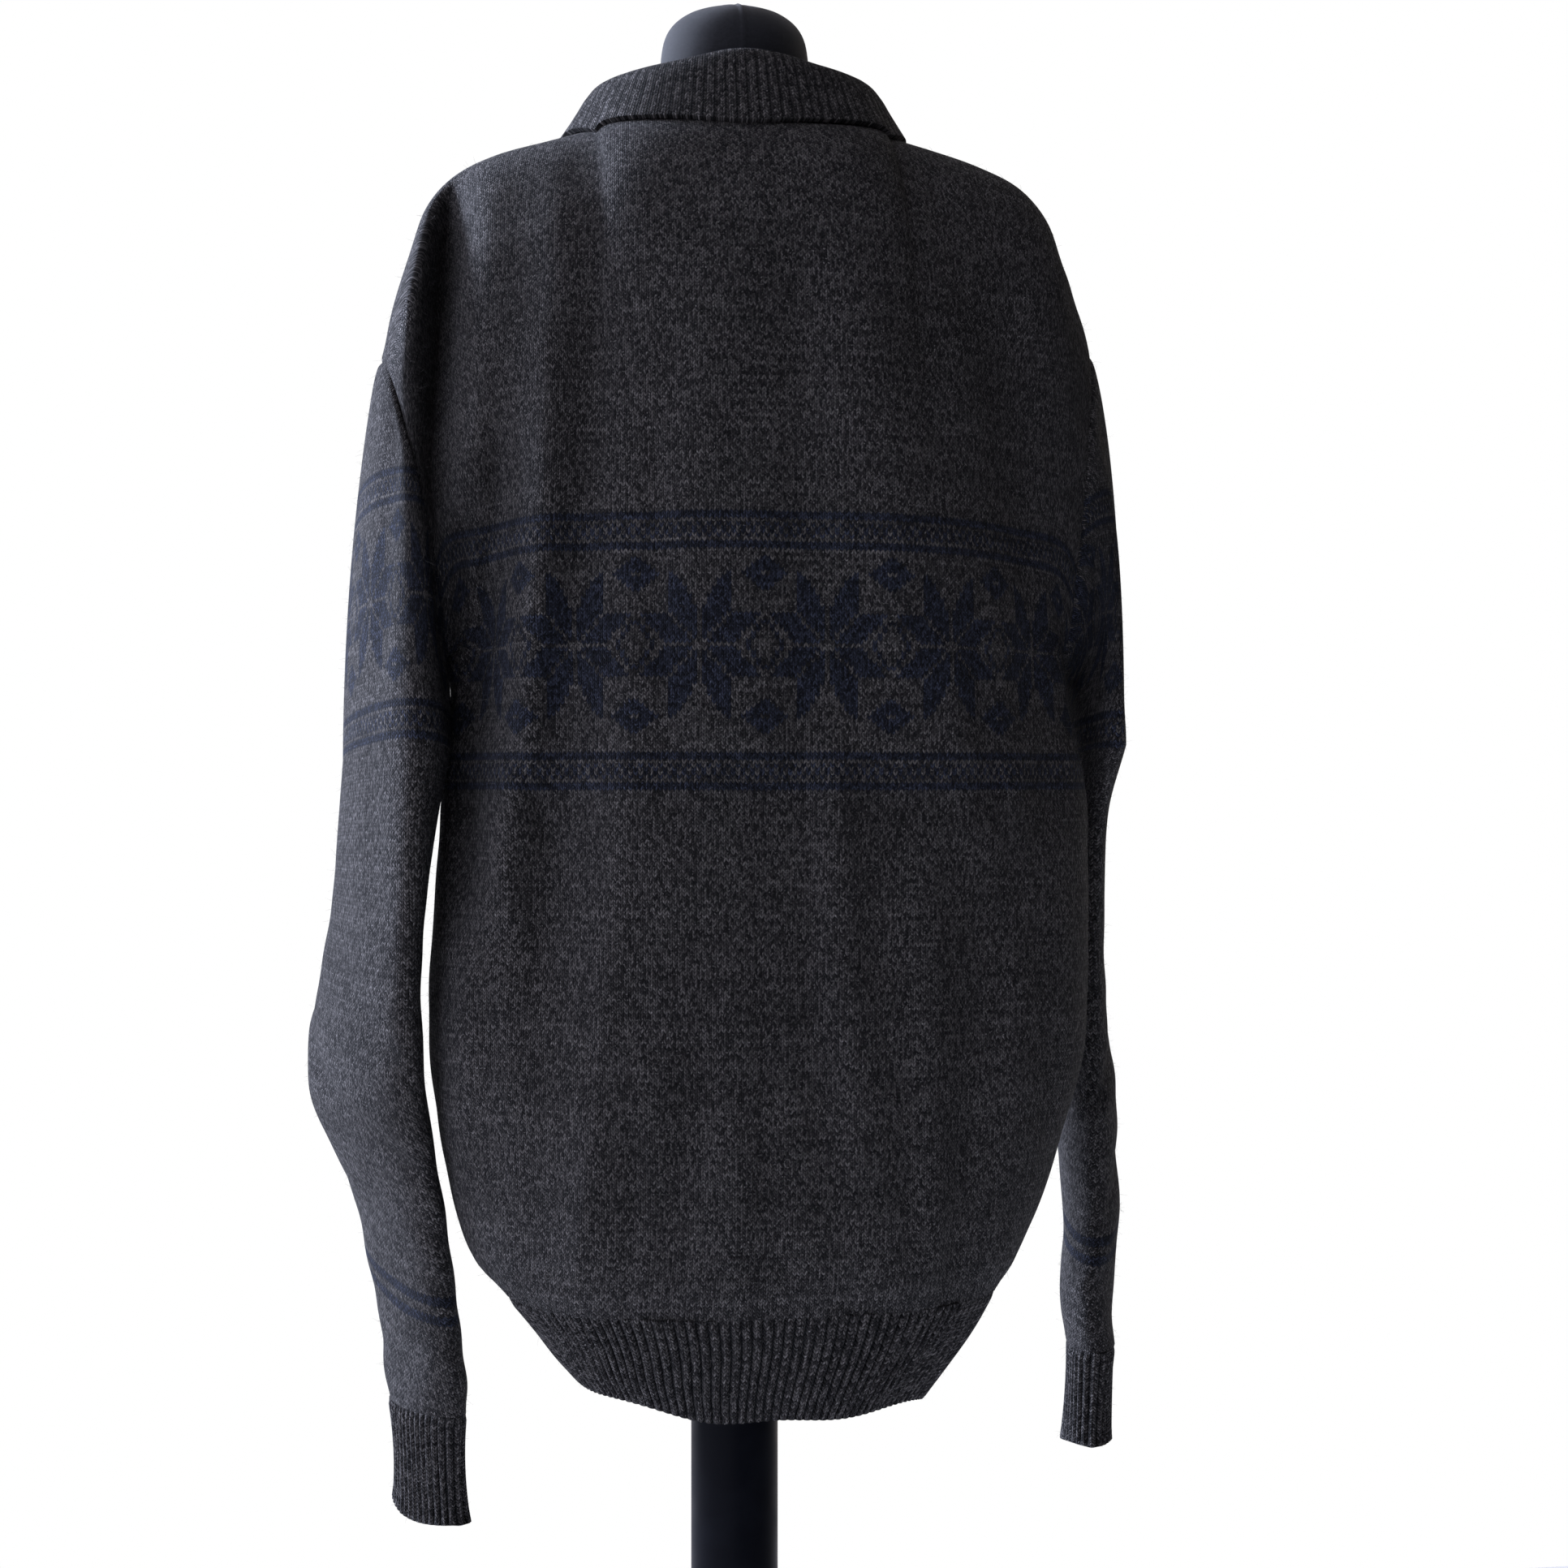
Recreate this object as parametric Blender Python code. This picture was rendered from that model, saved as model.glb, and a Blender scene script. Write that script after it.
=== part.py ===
"""Polo sweater in heavy ribbed and plain knitting, worn by a limbless dress form on a pole.

Metres, +Z up. The origin is the centre of the base's underside. The garment's front faces -Y,
its back +Y, and the wearer's left is +X. Each cloth piece is a wall round a middle surface:
a grid of points worked out from the tables below. Pieces that are sewn together share the points
of their seam, so their walls meet in a mitre there, and each one then draws back by half a gap.
"""

import math

import bpy
import numpy as np
from mathutils import Vector
from mathutils.bvhtree import BVHTree

# Cloth
CLOTH = 0.003
SEAM_GAP = 0.0005
SEAM_MITRE = 1.5
SMOOTH_MITRE = 1.15
SECTION_POWER = 2.4
SHOULDER_POWER = 2.6

# Panels: columns run from the centre line to the side seam, rows from the hem rib up
HALF_COLUMNS = 10
BODY_ROWS = 11
YOKE_ROWS = 10
CHEST_HEIGHT = 1.130
RIB_HEIGHT = 0.756
HEM_HEIGHT = 0.697
NECK_COLUMN = 0.3
NECK_HALF_WIDTH = 0.085
BACK, FRONT = 1, -1
LEFT, RIGHT = 1, -1
NECK_DEPTH = {BACK: 0.060, FRONT: 0.085}
NECK_CENTRE_HEIGHT = {BACK: 1.437, FRONT: 1.398}
ARMHOLE_CUT = {BACK: 0.25, FRONT: 0.29}
ARMHOLE_DEPTH = {BACK: 0.050, FRONT: 0.055}
ARMHOLE_LEAN = 0.003
ARMHOLE_RISE_POWER = 2.0
ARMHOLE_SWELL_POWER = 0.6
ARMHOLE_CUT_POWER = 0.8
ARMHOLE_BLEND_POWER = 3

# Level sections of the body: half widths to either side and depths from the side seams
BODY_COLUMNS = ("height", "left", "right", "back", "front")
BODY_SECTIONS = (
    (0.695, 0.094, 0.108, 0.086, 0.086),
    (0.712, 0.106, 0.122, 0.094, 0.095),
    (0.735, 0.120, 0.141, 0.101, 0.104),
    (0.756, 0.135, 0.155, 0.108, 0.113),
    (0.776, 0.154, 0.168, 0.116, 0.125),
    (0.805, 0.165, 0.181, 0.121, 0.133),
    (0.850, 0.174, 0.197, 0.123, 0.138),
    (0.900, 0.180, 0.210, 0.123, 0.141),
    (0.950, 0.180, 0.2125, 0.121, 0.143),
    (1.000, 0.176, 0.2125, 0.119, 0.144),
    (1.060, 0.172, 0.210, 0.119, 0.145),
    (1.105, 0.168, 0.199, 0.120, 0.145),
    (1.130, 0.171, 0.197, 0.121, 0.144),
)

# Shoulder line from the neck to the top of the sleeve seam
SHOULDER_COLUMNS = ("column", "reach", "left", "right")
SHOULDER_LINE = (
    (0.30, 0.085, 1.4415, 1.4440),
    (0.42, 0.115, 1.4330, 1.4365),
    (0.54, 0.145, 1.4235, 1.4280),
    (0.64, 0.168, 1.4125, 1.4180),
    (0.73, 0.183, 1.3930, 1.4010),
    (0.82, 0.193, 1.3640, 1.3740),
    (0.91, 0.202, 1.3340, 1.3460),
    (1.00, 0.209, 1.3030, 1.3170),
)
RIGHT_END_REACH = 0.005

# Largest folds: each runs from a top point to a foot point and sinks (-) or lifts (+) the cloth
FOLD_COLUMNS = ("face", "top_x", "top_z", "foot_x", "foot_z", "width", "depth")
FOLDS = (
    (BACK, 0.170, 1.375, 0.181, 1.235, 0.0110, -0.045),
    (BACK, 0.194, 1.350, 0.202, 1.270, 0.0070, 0.050),
    (BACK, 0.146, 1.205, 0.157, 1.050, 0.012, -0.021),
    (BACK, 0.152, 1.140, 0.162, 1.030, 0.012, -0.016),
    (BACK, 0.126, 1.140, 0.138, 1.040, 0.012, 0.006),
    (BACK, 0.088, 1.290, 0.112, 0.980, 0.026, -0.011),
    (BACK, 0.112, 1.350, 0.122, 1.180, 0.014, 0.006),
    (BACK, 0.150, 1.070, 0.168, 0.900, 0.014, 0.008),
    (BACK, 0.118, 0.990, 0.128, 0.800, 0.022, -0.006),
    (BACK, -0.020, 1.330, -0.026, 0.900, 0.016, -0.004),
    (BACK, -0.060, 1.300, -0.082, 1.150, 0.022, 0.005),
    (BACK, -0.150, 1.300, -0.170, 1.080, 0.020, -0.010),
    (BACK, -0.085, 1.000, -0.095, 0.800, 0.016, 0.006),
    (BACK, -0.130, 0.960, -0.120, 0.790, 0.020, -0.006),
    (BACK, 0.040, 0.880, 0.052, 0.775, 0.016, -0.005),
    (BACK, -0.040, 0.870, -0.050, 0.775, 0.015, -0.005),
    (FRONT, 0.140, 1.280, 0.156, 1.040, 0.018, -0.012),
    (FRONT, -0.142, 1.290, -0.162, 1.060, 0.019, -0.011),
    (FRONT, 0.085, 1.240, 0.098, 0.930, 0.024, -0.007),
    (FRONT, -0.078, 1.220, -0.090, 0.900, 0.022, -0.006),
    (FRONT, 0.045, 1.020, 0.040, 0.790, 0.020, 0.006),
    (FRONT, -0.120, 1.000, -0.128, 0.790, 0.020, 0.006),
    (FRONT, 0.120, 0.930, 0.118, 0.780, 0.018, -0.006),
    (FRONT, -0.030, 0.900, -0.040, 0.775, 0.017, -0.005),
)
FOLD_FADE = 0.055
# Folds fade out towards the side seams, the shoulder line and the rib
SIDE_QUIET_POWER = 5
TOP_QUIET_POWER = 4
RIB_QUIET = 0.4

# Sleeves: reach from the body's centre plane (inner, outer) and Y of the back and front edges
SLEEVE_COLUMNS = ("height", "inner", "outer", "back", "front", "thick")
SLEEVE_SECTIONS = {
    LEFT: (
        (1.070, 0.1780, 0.2310, 0.070, -0.085, 0.044),
        (1.030, 0.1815, 0.2340, 0.069, -0.087, 0.042),
        (0.985, 0.1865, 0.2375, 0.066, -0.086, 0.037),
        (0.945, 0.1890, 0.2440, 0.061, -0.086, 0.037),
        (0.905, 0.1880, 0.2515, 0.055, -0.088, 0.040),
        (0.870, 0.1850, 0.2515, 0.048, -0.090, 0.042),
        (0.838, 0.1800, 0.2400, 0.038, -0.088, 0.037),
        (0.805, 0.1745, 0.2250, 0.028, -0.086, 0.034),
        (0.765, 0.1690, 0.2160, 0.018, -0.083, 0.033),
        (0.725, 0.1640, 0.2080, 0.009, -0.080, 0.033),
        (0.700, 0.1610, 0.2060, 0.004, -0.077, 0.034),
        (0.682, 0.1610, 0.2030, 0.000, -0.072, 0.031),
    ),
    RIGHT: (
        (1.080, 0.2205, 0.2430, 0.030, -0.085, 0.022),
        (1.040, 0.2190, 0.2425, -0.006, -0.120, 0.023),
        (0.990, 0.2195, 0.2460, -0.025, -0.140, 0.026),
        (0.940, 0.2205, 0.2505, -0.035, -0.155, 0.029),
        (0.900, 0.2225, 0.2575, -0.042, -0.163, 0.033),
        (0.858, 0.2265, 0.2680, -0.046, -0.172, 0.036),
        (0.815, 0.2290, 0.2690, -0.052, -0.168, 0.035),
        (0.775, 0.2320, 0.2720, -0.058, -0.163, 0.034),
        (0.740, 0.2310, 0.2680, -0.063, -0.157, 0.032),
        (0.712, 0.2310, 0.2655, -0.066, -0.152, 0.031),
        (0.692, 0.2350, 0.2655, -0.068, -0.146, 0.028),
    ),
}
# The sleeve head blends from the armhole seam into the first section: X eases most at the underarm
BLEND_STEPS = (0.0, 0.12, 0.30, 0.54, 0.80, 1.0)
HEAD_EASE_TOP = 1.5
HEAD_EASE_UNDERARM = 4.0
HEAD_EASE_Y = 2.2
HEAD_EASE_Z = 1.6
SLEEVE_ROWS = 11
CUFF_LENGTH = 0.065
CUFF_FLARE = {LEFT: (0.002, 0.006), RIGHT: (0.001, 0.005)}
CUFF_SQUEEZE = 0.10
CUFF_SQUEEZE_POWER = 0.6
CUFF_WAVE = 0.003
CUFF_WAVE_LENGTH = 0.105

# Ribs
RIB_RISE = 0.0010
HEM_RIBS = 132
CUFF_RIBS = 34
COLLAR_RIBS = 84
COLLAR_RIB_RISE = 0.0008
RING_SAMPLES = 720
NECK_SAMPLES = 60
HEM_WAVE_COLUMNS = ("count", "phase", "depth")
HEM_WAVES = ((1, 1.57, 0.0070), (3, 0.4, 0.0035), (7, 2.0, 0.0018))
TUBE_COLUMNS_PER_INNER = 4
COLLAR_COLUMNS_PER_INNER = 2

# Collar: stand, roll and fall along the neck seam from one front end to the other
COLLAR_CLOTH = 0.0026
COLLAR_END = 0.0180
COLLAR_COLUMNS = ("way", "stand", "lean", "reach", "lift")
COLLAR_SECTIONS = (
    (0.00, 0.022, -0.003, 0.044, 0.0080),
    (0.12, 0.025, -0.004, 0.036, 0.0075),
    (0.26, 0.027, -0.006, 0.019, 0.0042),
    (0.40, 0.036, -0.008, 0.017, 0.0040),
    (0.50, 0.044, -0.009, 0.018, 0.0040),
    (0.60, 0.036, -0.008, 0.017, 0.0040),
    (0.74, 0.027, -0.006, 0.019, 0.0042),
    (0.88, 0.025, -0.004, 0.036, 0.0075),
    (1.00, 0.022, -0.003, 0.044, 0.0080),
)
ROLL_WIDTH = 0.012
ROLL_DROP = 0.006
STAND_DROP = 0.007
FALL_STEPS = (0.36, 0.70)
MID_LIFT = 1.35

# Placket and buttons
PLACKET_HALF_WIDTH = 0.015
PLACKET_ROWS = 8
PLACKET_CLOTH = 0.0025
PLACKET_FOOT_TRIM = 0.04
CUTTER_REACH = 3
CUTTER_THICKNESS = 0.009
BUTTON_RADIUS = 0.0075
BUTTON_HEIGHT = 0.0030
BUTTON_DROPS = (0.035, 0.080, 0.125)
BUTTON_SIDES = 24
BUTTON_PROFILE_COLUMNS = ("radius_share", "height_share")
BUTTON_PROFILE = ((0.86, 0.0), (1.0, 0.35), (1.0, 0.75), (0.90, 1.0))

# Dress form and stand: half widths and depths of level rings
FORM_COLUMNS = ("height", "half", "back", "front")
FORM_RINGS = (
    (0.795, 0.128, 0.078, 0.082),
    (0.800, 0.140, 0.090, 0.094),
    (0.820, 0.149, 0.098, 0.102),
    (0.870, 0.152, 0.100, 0.104),
    (0.930, 0.143, 0.094, 0.098),
    (1.000, 0.130, 0.086, 0.092),
    (1.060, 0.131, 0.089, 0.098),
    (1.130, 0.145, 0.098, 0.112),
    (1.200, 0.160, 0.103, 0.118),
    (1.270, 0.165, 0.094, 0.108),
    (1.330, 0.166, 0.085, 0.095),
    (1.368, 0.166, 0.077, 0.082),
    (1.392, 0.1640, 0.069, 0.071),
    (1.409, 0.1560, 0.061, 0.060),
    (1.4210, 0.1415, 0.053, 0.045),
    (1.4305, 0.1100, 0.048, 0.035),
    (1.4375, 0.0725, 0.046, 0.037),
    (1.4445, 0.0590, 0.045, 0.040),
    (1.455, 0.0480, 0.043, 0.042),
    (1.472, 0.0445, 0.042, 0.043),
    (1.492, 0.0440, 0.042, 0.043),
    (1.506, 0.0400, 0.038, 0.040),
    (1.515, 0.0300, 0.029, 0.030),
    (1.5205, 0.0140, 0.014, 0.014),
)
FORM_SIDES = 32
POLE_RADIUS = 0.026
BASE_RADIUS = 0.180
BASE_HEIGHT = 0.012
BASE_CHAMFER = 0.003
ROUND_SIDES = 32
TOUCH_GAP = 0.0003

SHARP_ANGLE = math.radians(50)
TINY = 1e-9
ABOVE_ALL = 2.0

# Materials: colour, roughness and metallic value
MATERIALS = {
    "wool_charcoal": ((0.020, 0.019, 0.020), 0.95, 0.0),
    "wool_rib": ((0.018, 0.017, 0.018), 0.95, 0.0),
    "button": ((0.025, 0.022, 0.020), 0.45, 0.0),
    "form_jersey": ((0.010, 0.010, 0.011), 0.90, 0.0),
    "stand_metal": ((0.015, 0.015, 0.016), 0.35, 0.0),
}


def clear_scene():
    for obj in list(bpy.data.objects):
        bpy.data.objects.remove(obj, do_unlink=True)


def make_materials():
    made = {}
    for name, (colour, roughness, metallic) in MATERIALS.items():
        material = bpy.data.materials.new(name)
        material.use_nodes = True
        shader = material.node_tree.nodes["Principled BSDF"]
        shader.inputs["Base Color"].default_value = (*colour, 1.0)
        shader.inputs["Roughness"].default_value = roughness
        shader.inputs["Metallic"].default_value = metallic
        material.diffuse_color = (*colour, 1.0)
        made[name] = material
    return made


def smooth_value(rows, columns, key, name, at):
    """Reads a table column as a smooth curve of its key column."""
    keys = [row[columns.index(key)] for row in rows]
    values = [row[columns.index(name)] for row in rows]
    if keys[0] > keys[-1]:
        keys.reverse()
        values.reverse()
    at = min(max(at, keys[0]), keys[-1])
    last = len(keys) - 1
    i = min(max(int(np.searchsorted(keys, at)) - 1, 0), last - 1)
    slopes = []
    for j in (i, i + 1):
        before, after = max(j - 1, 0), min(j + 1, last)
        slopes.append((values[after] - values[before]) / (keys[after] - keys[before]))
    step = keys[i + 1] - keys[i]
    t = (at - keys[i]) / step
    rise = values[i + 1] - values[i]
    curve = t * t * (3 - 2 * t) * rise
    start = t * (1 - t) * (1 - t) * step * slopes[0]
    end = -t * t * (1 - t) * step * slopes[1]
    return values[i] + curve + start + end


def body_value(name, height):
    return smooth_value(BODY_SECTIONS, BODY_COLUMNS, "height", name, height)


def power(value, exponent):
    return max(value, 0.0) ** exponent


def level_point(face, side, column, height):
    """A point of the body's level section; column 0 is the centre and 1 the side seam."""
    half = body_value("left" if side == LEFT else "right", height)
    depth = body_value("back" if face == BACK else "front", height)
    turn = column * math.pi / 2
    x = side * half * power(math.sin(turn), 2 / SECTION_POWER)
    y = face * depth * power(math.cos(turn), 2 / SECTION_POWER)
    return np.array((x, y, height))


def top_point(face, side, column):
    """A point of the panel's top edge: the neck seam, then the shoulder seam."""
    side_name = "left" if side == LEFT else "right"
    if column < NECK_COLUMN:
        turn = column / NECK_COLUMN * math.pi / 2
        shoulder = SHOULDER_LINE[0][SHOULDER_COLUMNS.index(side_name)]
        drop = shoulder - NECK_CENTRE_HEIGHT[face]
        x = side * NECK_HALF_WIDTH * math.sin(turn)
        y = face * NECK_DEPTH[face] * math.cos(turn)
        return np.array((x, y, NECK_CENTRE_HEIGHT[face] + drop * math.sin(turn) ** 2))
    reach = smooth_value(SHOULDER_LINE, SHOULDER_COLUMNS, "column", "reach", column)
    if side == RIGHT:
        reach += RIGHT_END_REACH * ((column - NECK_COLUMN) / (1 - NECK_COLUMN)) ** 2
    height = smooth_value(SHOULDER_LINE, SHOULDER_COLUMNS, "column", side_name, column)
    return np.array((side * reach, 0.0, height))


def fold_depth(face, x, z):
    """How far the largest folds lift or sink the cloth here."""
    total = 0.0
    for row in FOLDS:
        fold = dict(zip(FOLD_COLUMNS, row))
        if fold["face"] != face:
            continue
        along = (fold["top_z"] - z) / (fold["top_z"] - fold["foot_z"])
        line = fold["top_x"] + (fold["foot_x"] - fold["top_x"]) * along
        past = max(fold["foot_z"] - z, z - fold["top_z"], 0.0)
        fade = math.exp(-((past / FOLD_FADE) ** 2))
        total += fold["depth"] * fade * math.exp(-(((x - line) / fold["width"]) ** 2))
    return total


def armhole_point(face, side, rise):
    """A point of the armhole seam, from the underarm (rise 0) to the shoulder end (rise 1)."""
    foot = level_point(face, side, 1.0, CHEST_HEIGHT)
    top = top_point(face, side, 1.0)
    share = rise**ARMHOLE_RISE_POWER
    swell = 2 * math.sqrt(share * (1 - share))
    point = foot + (top - foot) * share
    point[0] -= side * ARMHOLE_LEAN * swell
    point[1] = face * ARMHOLE_DEPTH[face] * power(swell, ARMHOLE_SWELL_POWER)
    return point


def yoke_base(face, side, column, rise, bulge):
    """A point between the chest line and the top edge, before the armhole shapes it."""
    chest = level_point(face, side, column, CHEST_HEIGHT)
    top = top_point(face, side, column)
    point = chest + (top - chest) * rise
    point[1] = top[1] + (chest[1] - top[1]) * bulge
    return point


def yoke_point(face, side, column, row):
    """A point between the chest line (row 0) and the shoulder line (row 1)."""
    turn = row * math.pi / 2
    rise = min(power(math.sin(turn), 2 / SHOULDER_POWER), 1.0)
    bulge = power(math.cos(turn), 2 / SHOULDER_POWER) if row < 1 else 0.0
    edge = 1 - ARMHOLE_CUT[face] * power(math.sin(math.pi * rise), ARMHOLE_CUT_POWER)
    point = yoke_base(face, side, column * edge, rise, bulge)
    miss = armhole_point(face, side, rise) - yoke_base(face, side, edge, rise, bulge)
    return point + miss * column**ARMHOLE_BLEND_POWER


def panel_grid(face):
    """Middle surface of the back or front, from the right side seam to the left one."""
    grid = []
    rows = [("body", i / BODY_ROWS) for i in range(BODY_ROWS)]
    rows += [("yoke", i / YOKE_ROWS) for i in range(YOKE_ROWS + 1)]
    for part, along in rows:
        line = []
        for j in range(-HALF_COLUMNS, HALF_COLUMNS + 1):
            side = LEFT if j >= 0 else RIGHT
            column = abs(j) / HALF_COLUMNS
            if part == "body":
                height = RIB_HEIGHT + (CHEST_HEIGHT - RIB_HEIGHT) * along
                point = level_point(face, side, column, height)
            else:
                point = yoke_point(face, side, column, along)
            quiet = 1 - column**SIDE_QUIET_POWER
            if part == "yoke":
                quiet *= 1 - along**TOP_QUIET_POWER
            elif along == 0:
                quiet *= RIB_QUIET
            point[1] += face * fold_depth(face, point[0], point[2]) * quiet
            line.append(point)
        grid.append(line)
    return np.array(grid)


def sleeve_oval(side, row, turn):
    """A point of a sleeve's flattened section; turn 0 faces out and a quarter turn the back."""
    values = dict(zip(SLEEVE_COLUMNS, row))
    half_width = (values["outer"] - values["inner"]) / 2
    half_depth = (values["back"] - values["front"]) / 2
    half_thick = min(values["thick"] / 2, half_width)
    centre_x = (values["outer"] + values["inner"]) / 2
    centre_y = (values["back"] + values["front"]) / 2
    lean = math.sqrt(half_width**2 - half_thick**2)
    x = centre_x + half_thick * math.cos(turn) - lean * math.sin(turn)
    y = centre_y + half_depth * math.sin(turn)
    return np.array((side * x, y, values["height"]))


def sleeve_row(side, height):
    table = SLEEVE_SECTIONS[side]
    names = SLEEVE_COLUMNS[1:]
    values = [smooth_value(table, SLEEVE_COLUMNS, "height", name, height) for name in names]
    return (height, *values)


def armhole_loop(back, front, side):
    """The seam's points, from the shoulder down the back to the underarm and up the front."""
    edge = -1 if side == LEFT else 0
    down = back[BODY_ROWS:, edge][::-1]
    up = front[BODY_ROWS:, edge]
    return np.concatenate([down, up[1:-1]])


def sleeve_grid(side, loop):
    """Middle surface of a sleeve: rings from the armhole to the cuff."""
    count = len(loop)
    turns = [2 * math.pi * k / count for k in range(count)]
    table = SLEEVE_SECTIONS[side]
    first = [sleeve_oval(side, table[0], turn) for turn in turns]
    rings = []
    for step in BLEND_STEPS:
        ring = []
        for turn, start, end in zip(turns, loop, first):
            under = (1 - math.cos(turn)) / 2
            ease_x = HEAD_EASE_TOP + (HEAD_EASE_UNDERARM - HEAD_EASE_TOP) * under
            share_x = 1 - (1 - step) ** ease_x
            share_y = 1 - (1 - step) ** HEAD_EASE_Y
            share = np.array((share_x, share_y, step**HEAD_EASE_Z))
            ring.append(start + (end - start) * share)
        rings.append(ring)
    top, foot = table[0][0], table[-1][0]
    for i in range(1, SLEEVE_ROWS + 1):
        row = sleeve_row(side, top + (foot - top) * i / SLEEVE_ROWS)
        rings.append([sleeve_oval(side, row, turn) for turn in turns])
    return np.array(rings)


def face_corners(rows, columns, closed):
    """Corner indices (row, column) of each face of a grid."""
    across = columns if closed else columns - 1
    for i in range(rows - 1):
        for j in range(across):
            k = (j + 1) % columns
            yield (i, j), (i, k), (i + 1, k), (i + 1, j)


def shared_offsets(grids):
    """Outward offset of each grid point for a wall of even thickness, shared along seams.

    grids maps a name to (points, closed, turned), where turned says that the corners run
    clockwise seen from outside. Panels (open) and sleeves (closed) count alike where they meet.
    """
    sums = {}
    normals = {}
    for points, closed, turned in grids.values():
        for corners in face_corners(len(points), len(points[0]), closed):
            ring = [points[corner] for corner in corners]
            if turned:
                ring.reverse()
            for n in range(4):
                here, after, before = ring[n], ring[(n + 1) % 4], ring[n - 1]
                a, b = after - here, before - here
                normal = np.cross(a, b)
                size = np.linalg.norm(normal)
                if size < TINY:
                    continue
                normal /= size
                angle = math.atan2(size, float(a @ b))
                key = tuple(np.round(here, 6))
                kinds = sums.setdefault(key, {})
                kinds[closed] = kinds.get(closed, 0) + normal * angle
                normals.setdefault(key, []).append(normal)
    inside = set()
    for points, closed, turned in grids.values():
        core = points[1:-1] if closed else points[1:-1, 1:-1]
        inside |= {tuple(np.round(point, 6)) for point in core.reshape(-1, 3)}
    offsets = {}
    for name, (points, closed, turned) in grids.items():
        out = np.empty_like(points)
        for index in np.ndindex(points.shape[:2]):
            key = tuple(np.round(points[index], 6))
            mean = sum(total / np.linalg.norm(total) for total in sums[key].values())
            mean /= np.linalg.norm(mean)
            lean = min(float(mean @ normal) for normal in normals[key])
            most = SMOOTH_MITRE if key in inside else SEAM_MITRE
            out[index] = mean * (min(1 / lean, most) if lean > 0 else most)
        offsets[name] = out
    return offsets


def level_offset(offsets, row):
    """Turns a row's offsets level, for an edge that meets its neighbour in a level plane."""
    offsets[row, :, 2] = 0
    lengths = np.linalg.norm(offsets[row], axis=1, keepdims=True)
    offsets[row] /= lengths


def upright_neck_offsets(offsets):
    """Turns a panel's offsets upright along the neck seam, where the collar's foot meets it."""
    reach = round(NECK_COLUMN * HALF_COLUMNS)
    offsets[-1, HALF_COLUMNS - reach : HALF_COLUMNS + reach + 1] = (0, 0, 1)


def draw_back(points, offsets, row_edges, column_edges):
    """Moves the seam edges of a grid into their own piece by half the seam's gap."""
    moved = points.copy()

    def pull(edge, inner, rims):
        along = np.gradient(edge, axis=0)
        for n, (here, inside, tangent, rim) in enumerate(zip(edge, inner, along, rims)):
            way = inside - here
            for axis in (rim, tangent):
                unit = axis / max(np.linalg.norm(axis), TINY)
                way = way - unit * float(way @ unit)
            size = np.linalg.norm(way)
            if size > 1e-6:
                yield n, way / size * SEAM_GAP / 2

    for row in row_edges:
        inner = points[1] if row == 0 else points[-2]
        for n, step in pull(points[row], inner, offsets[row]):
            moved[row, n] += step
    for column in column_edges:
        inner = points[:, 1] if column == 0 else points[:, -2]
        for n, step in pull(points[:, column], inner, offsets[:, column]):
            moved[n, column] += step
    return moved


def wall_mesh(points, offsets, closed, turned, thickness):
    """Vertices and faces of a wall that reaches half its thickness to each side."""
    rows, columns = points.shape[:2]
    outer = points + offsets * thickness / 2
    inner = points - offsets * thickness / 2
    vertices = [tuple(v) for v in outer.reshape(-1, 3)]
    vertices += [tuple(v) for v in inner.reshape(-1, 3)]
    back = rows * columns
    faces = []

    def index(corner):
        return corner[0] * columns + corner[1]

    for corners in face_corners(rows, columns, closed):
        face = [index(corner) for corner in corners]
        spans = [np.linalg.norm(points[corners[n]] - points[corners[n + 2]]) for n in (0, 1)]
        if spans[1] < spans[0]:
            face = face[1:] + face[:1]
        for half in (face[:3], [face[2], face[3], face[0]]):
            faces.append(half)
            faces.append([n + back for n in reversed(half)])

    def rim(a, b):
        """Two triangles whose diagonal is the same in the piece across the seam."""
        if tuple(np.round(points.reshape(-1, 3)[a], 3)[[2, 1, 0]]) < tuple(
            np.round(points.reshape(-1, 3)[b], 3)[[2, 1, 0]]
        ):
            return [[a, b, b + back], [a, b + back, a + back]]
        return [[a, b, a + back], [b, b + back, a + back]]

    across = columns if closed else columns - 1
    for j in range(across):
        k = (j + 1) % columns
        faces += rim(index((0, k)), index((0, j)))
        faces += rim(index((rows - 1, j)), index((rows - 1, k)))
    if not closed:
        for i in range(rows - 1):
            faces += rim(index((i, 0)), index((i + 1, 0)))
            faces += rim(index((i + 1, columns - 1)), index((i, columns - 1)))
    if turned:
        faces = [list(reversed(face)) for face in faces]
    return vertices, faces


def add_object(name, vertices, faces, material, parent=None, smooth=True):
    mesh = bpy.data.meshes.new(name)
    mesh.from_pydata([tuple(map(float, v)) for v in vertices], [], faces)
    mesh.validate()
    mesh.materials.append(material)
    if smooth:
        mesh.shade_smooth()
        mesh.set_sharp_from_angle(angle=SHARP_ANGLE)
    obj = bpy.data.objects.new(name, mesh)
    bpy.context.scene.collection.objects.link(obj)
    obj.parent = parent
    return obj


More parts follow.
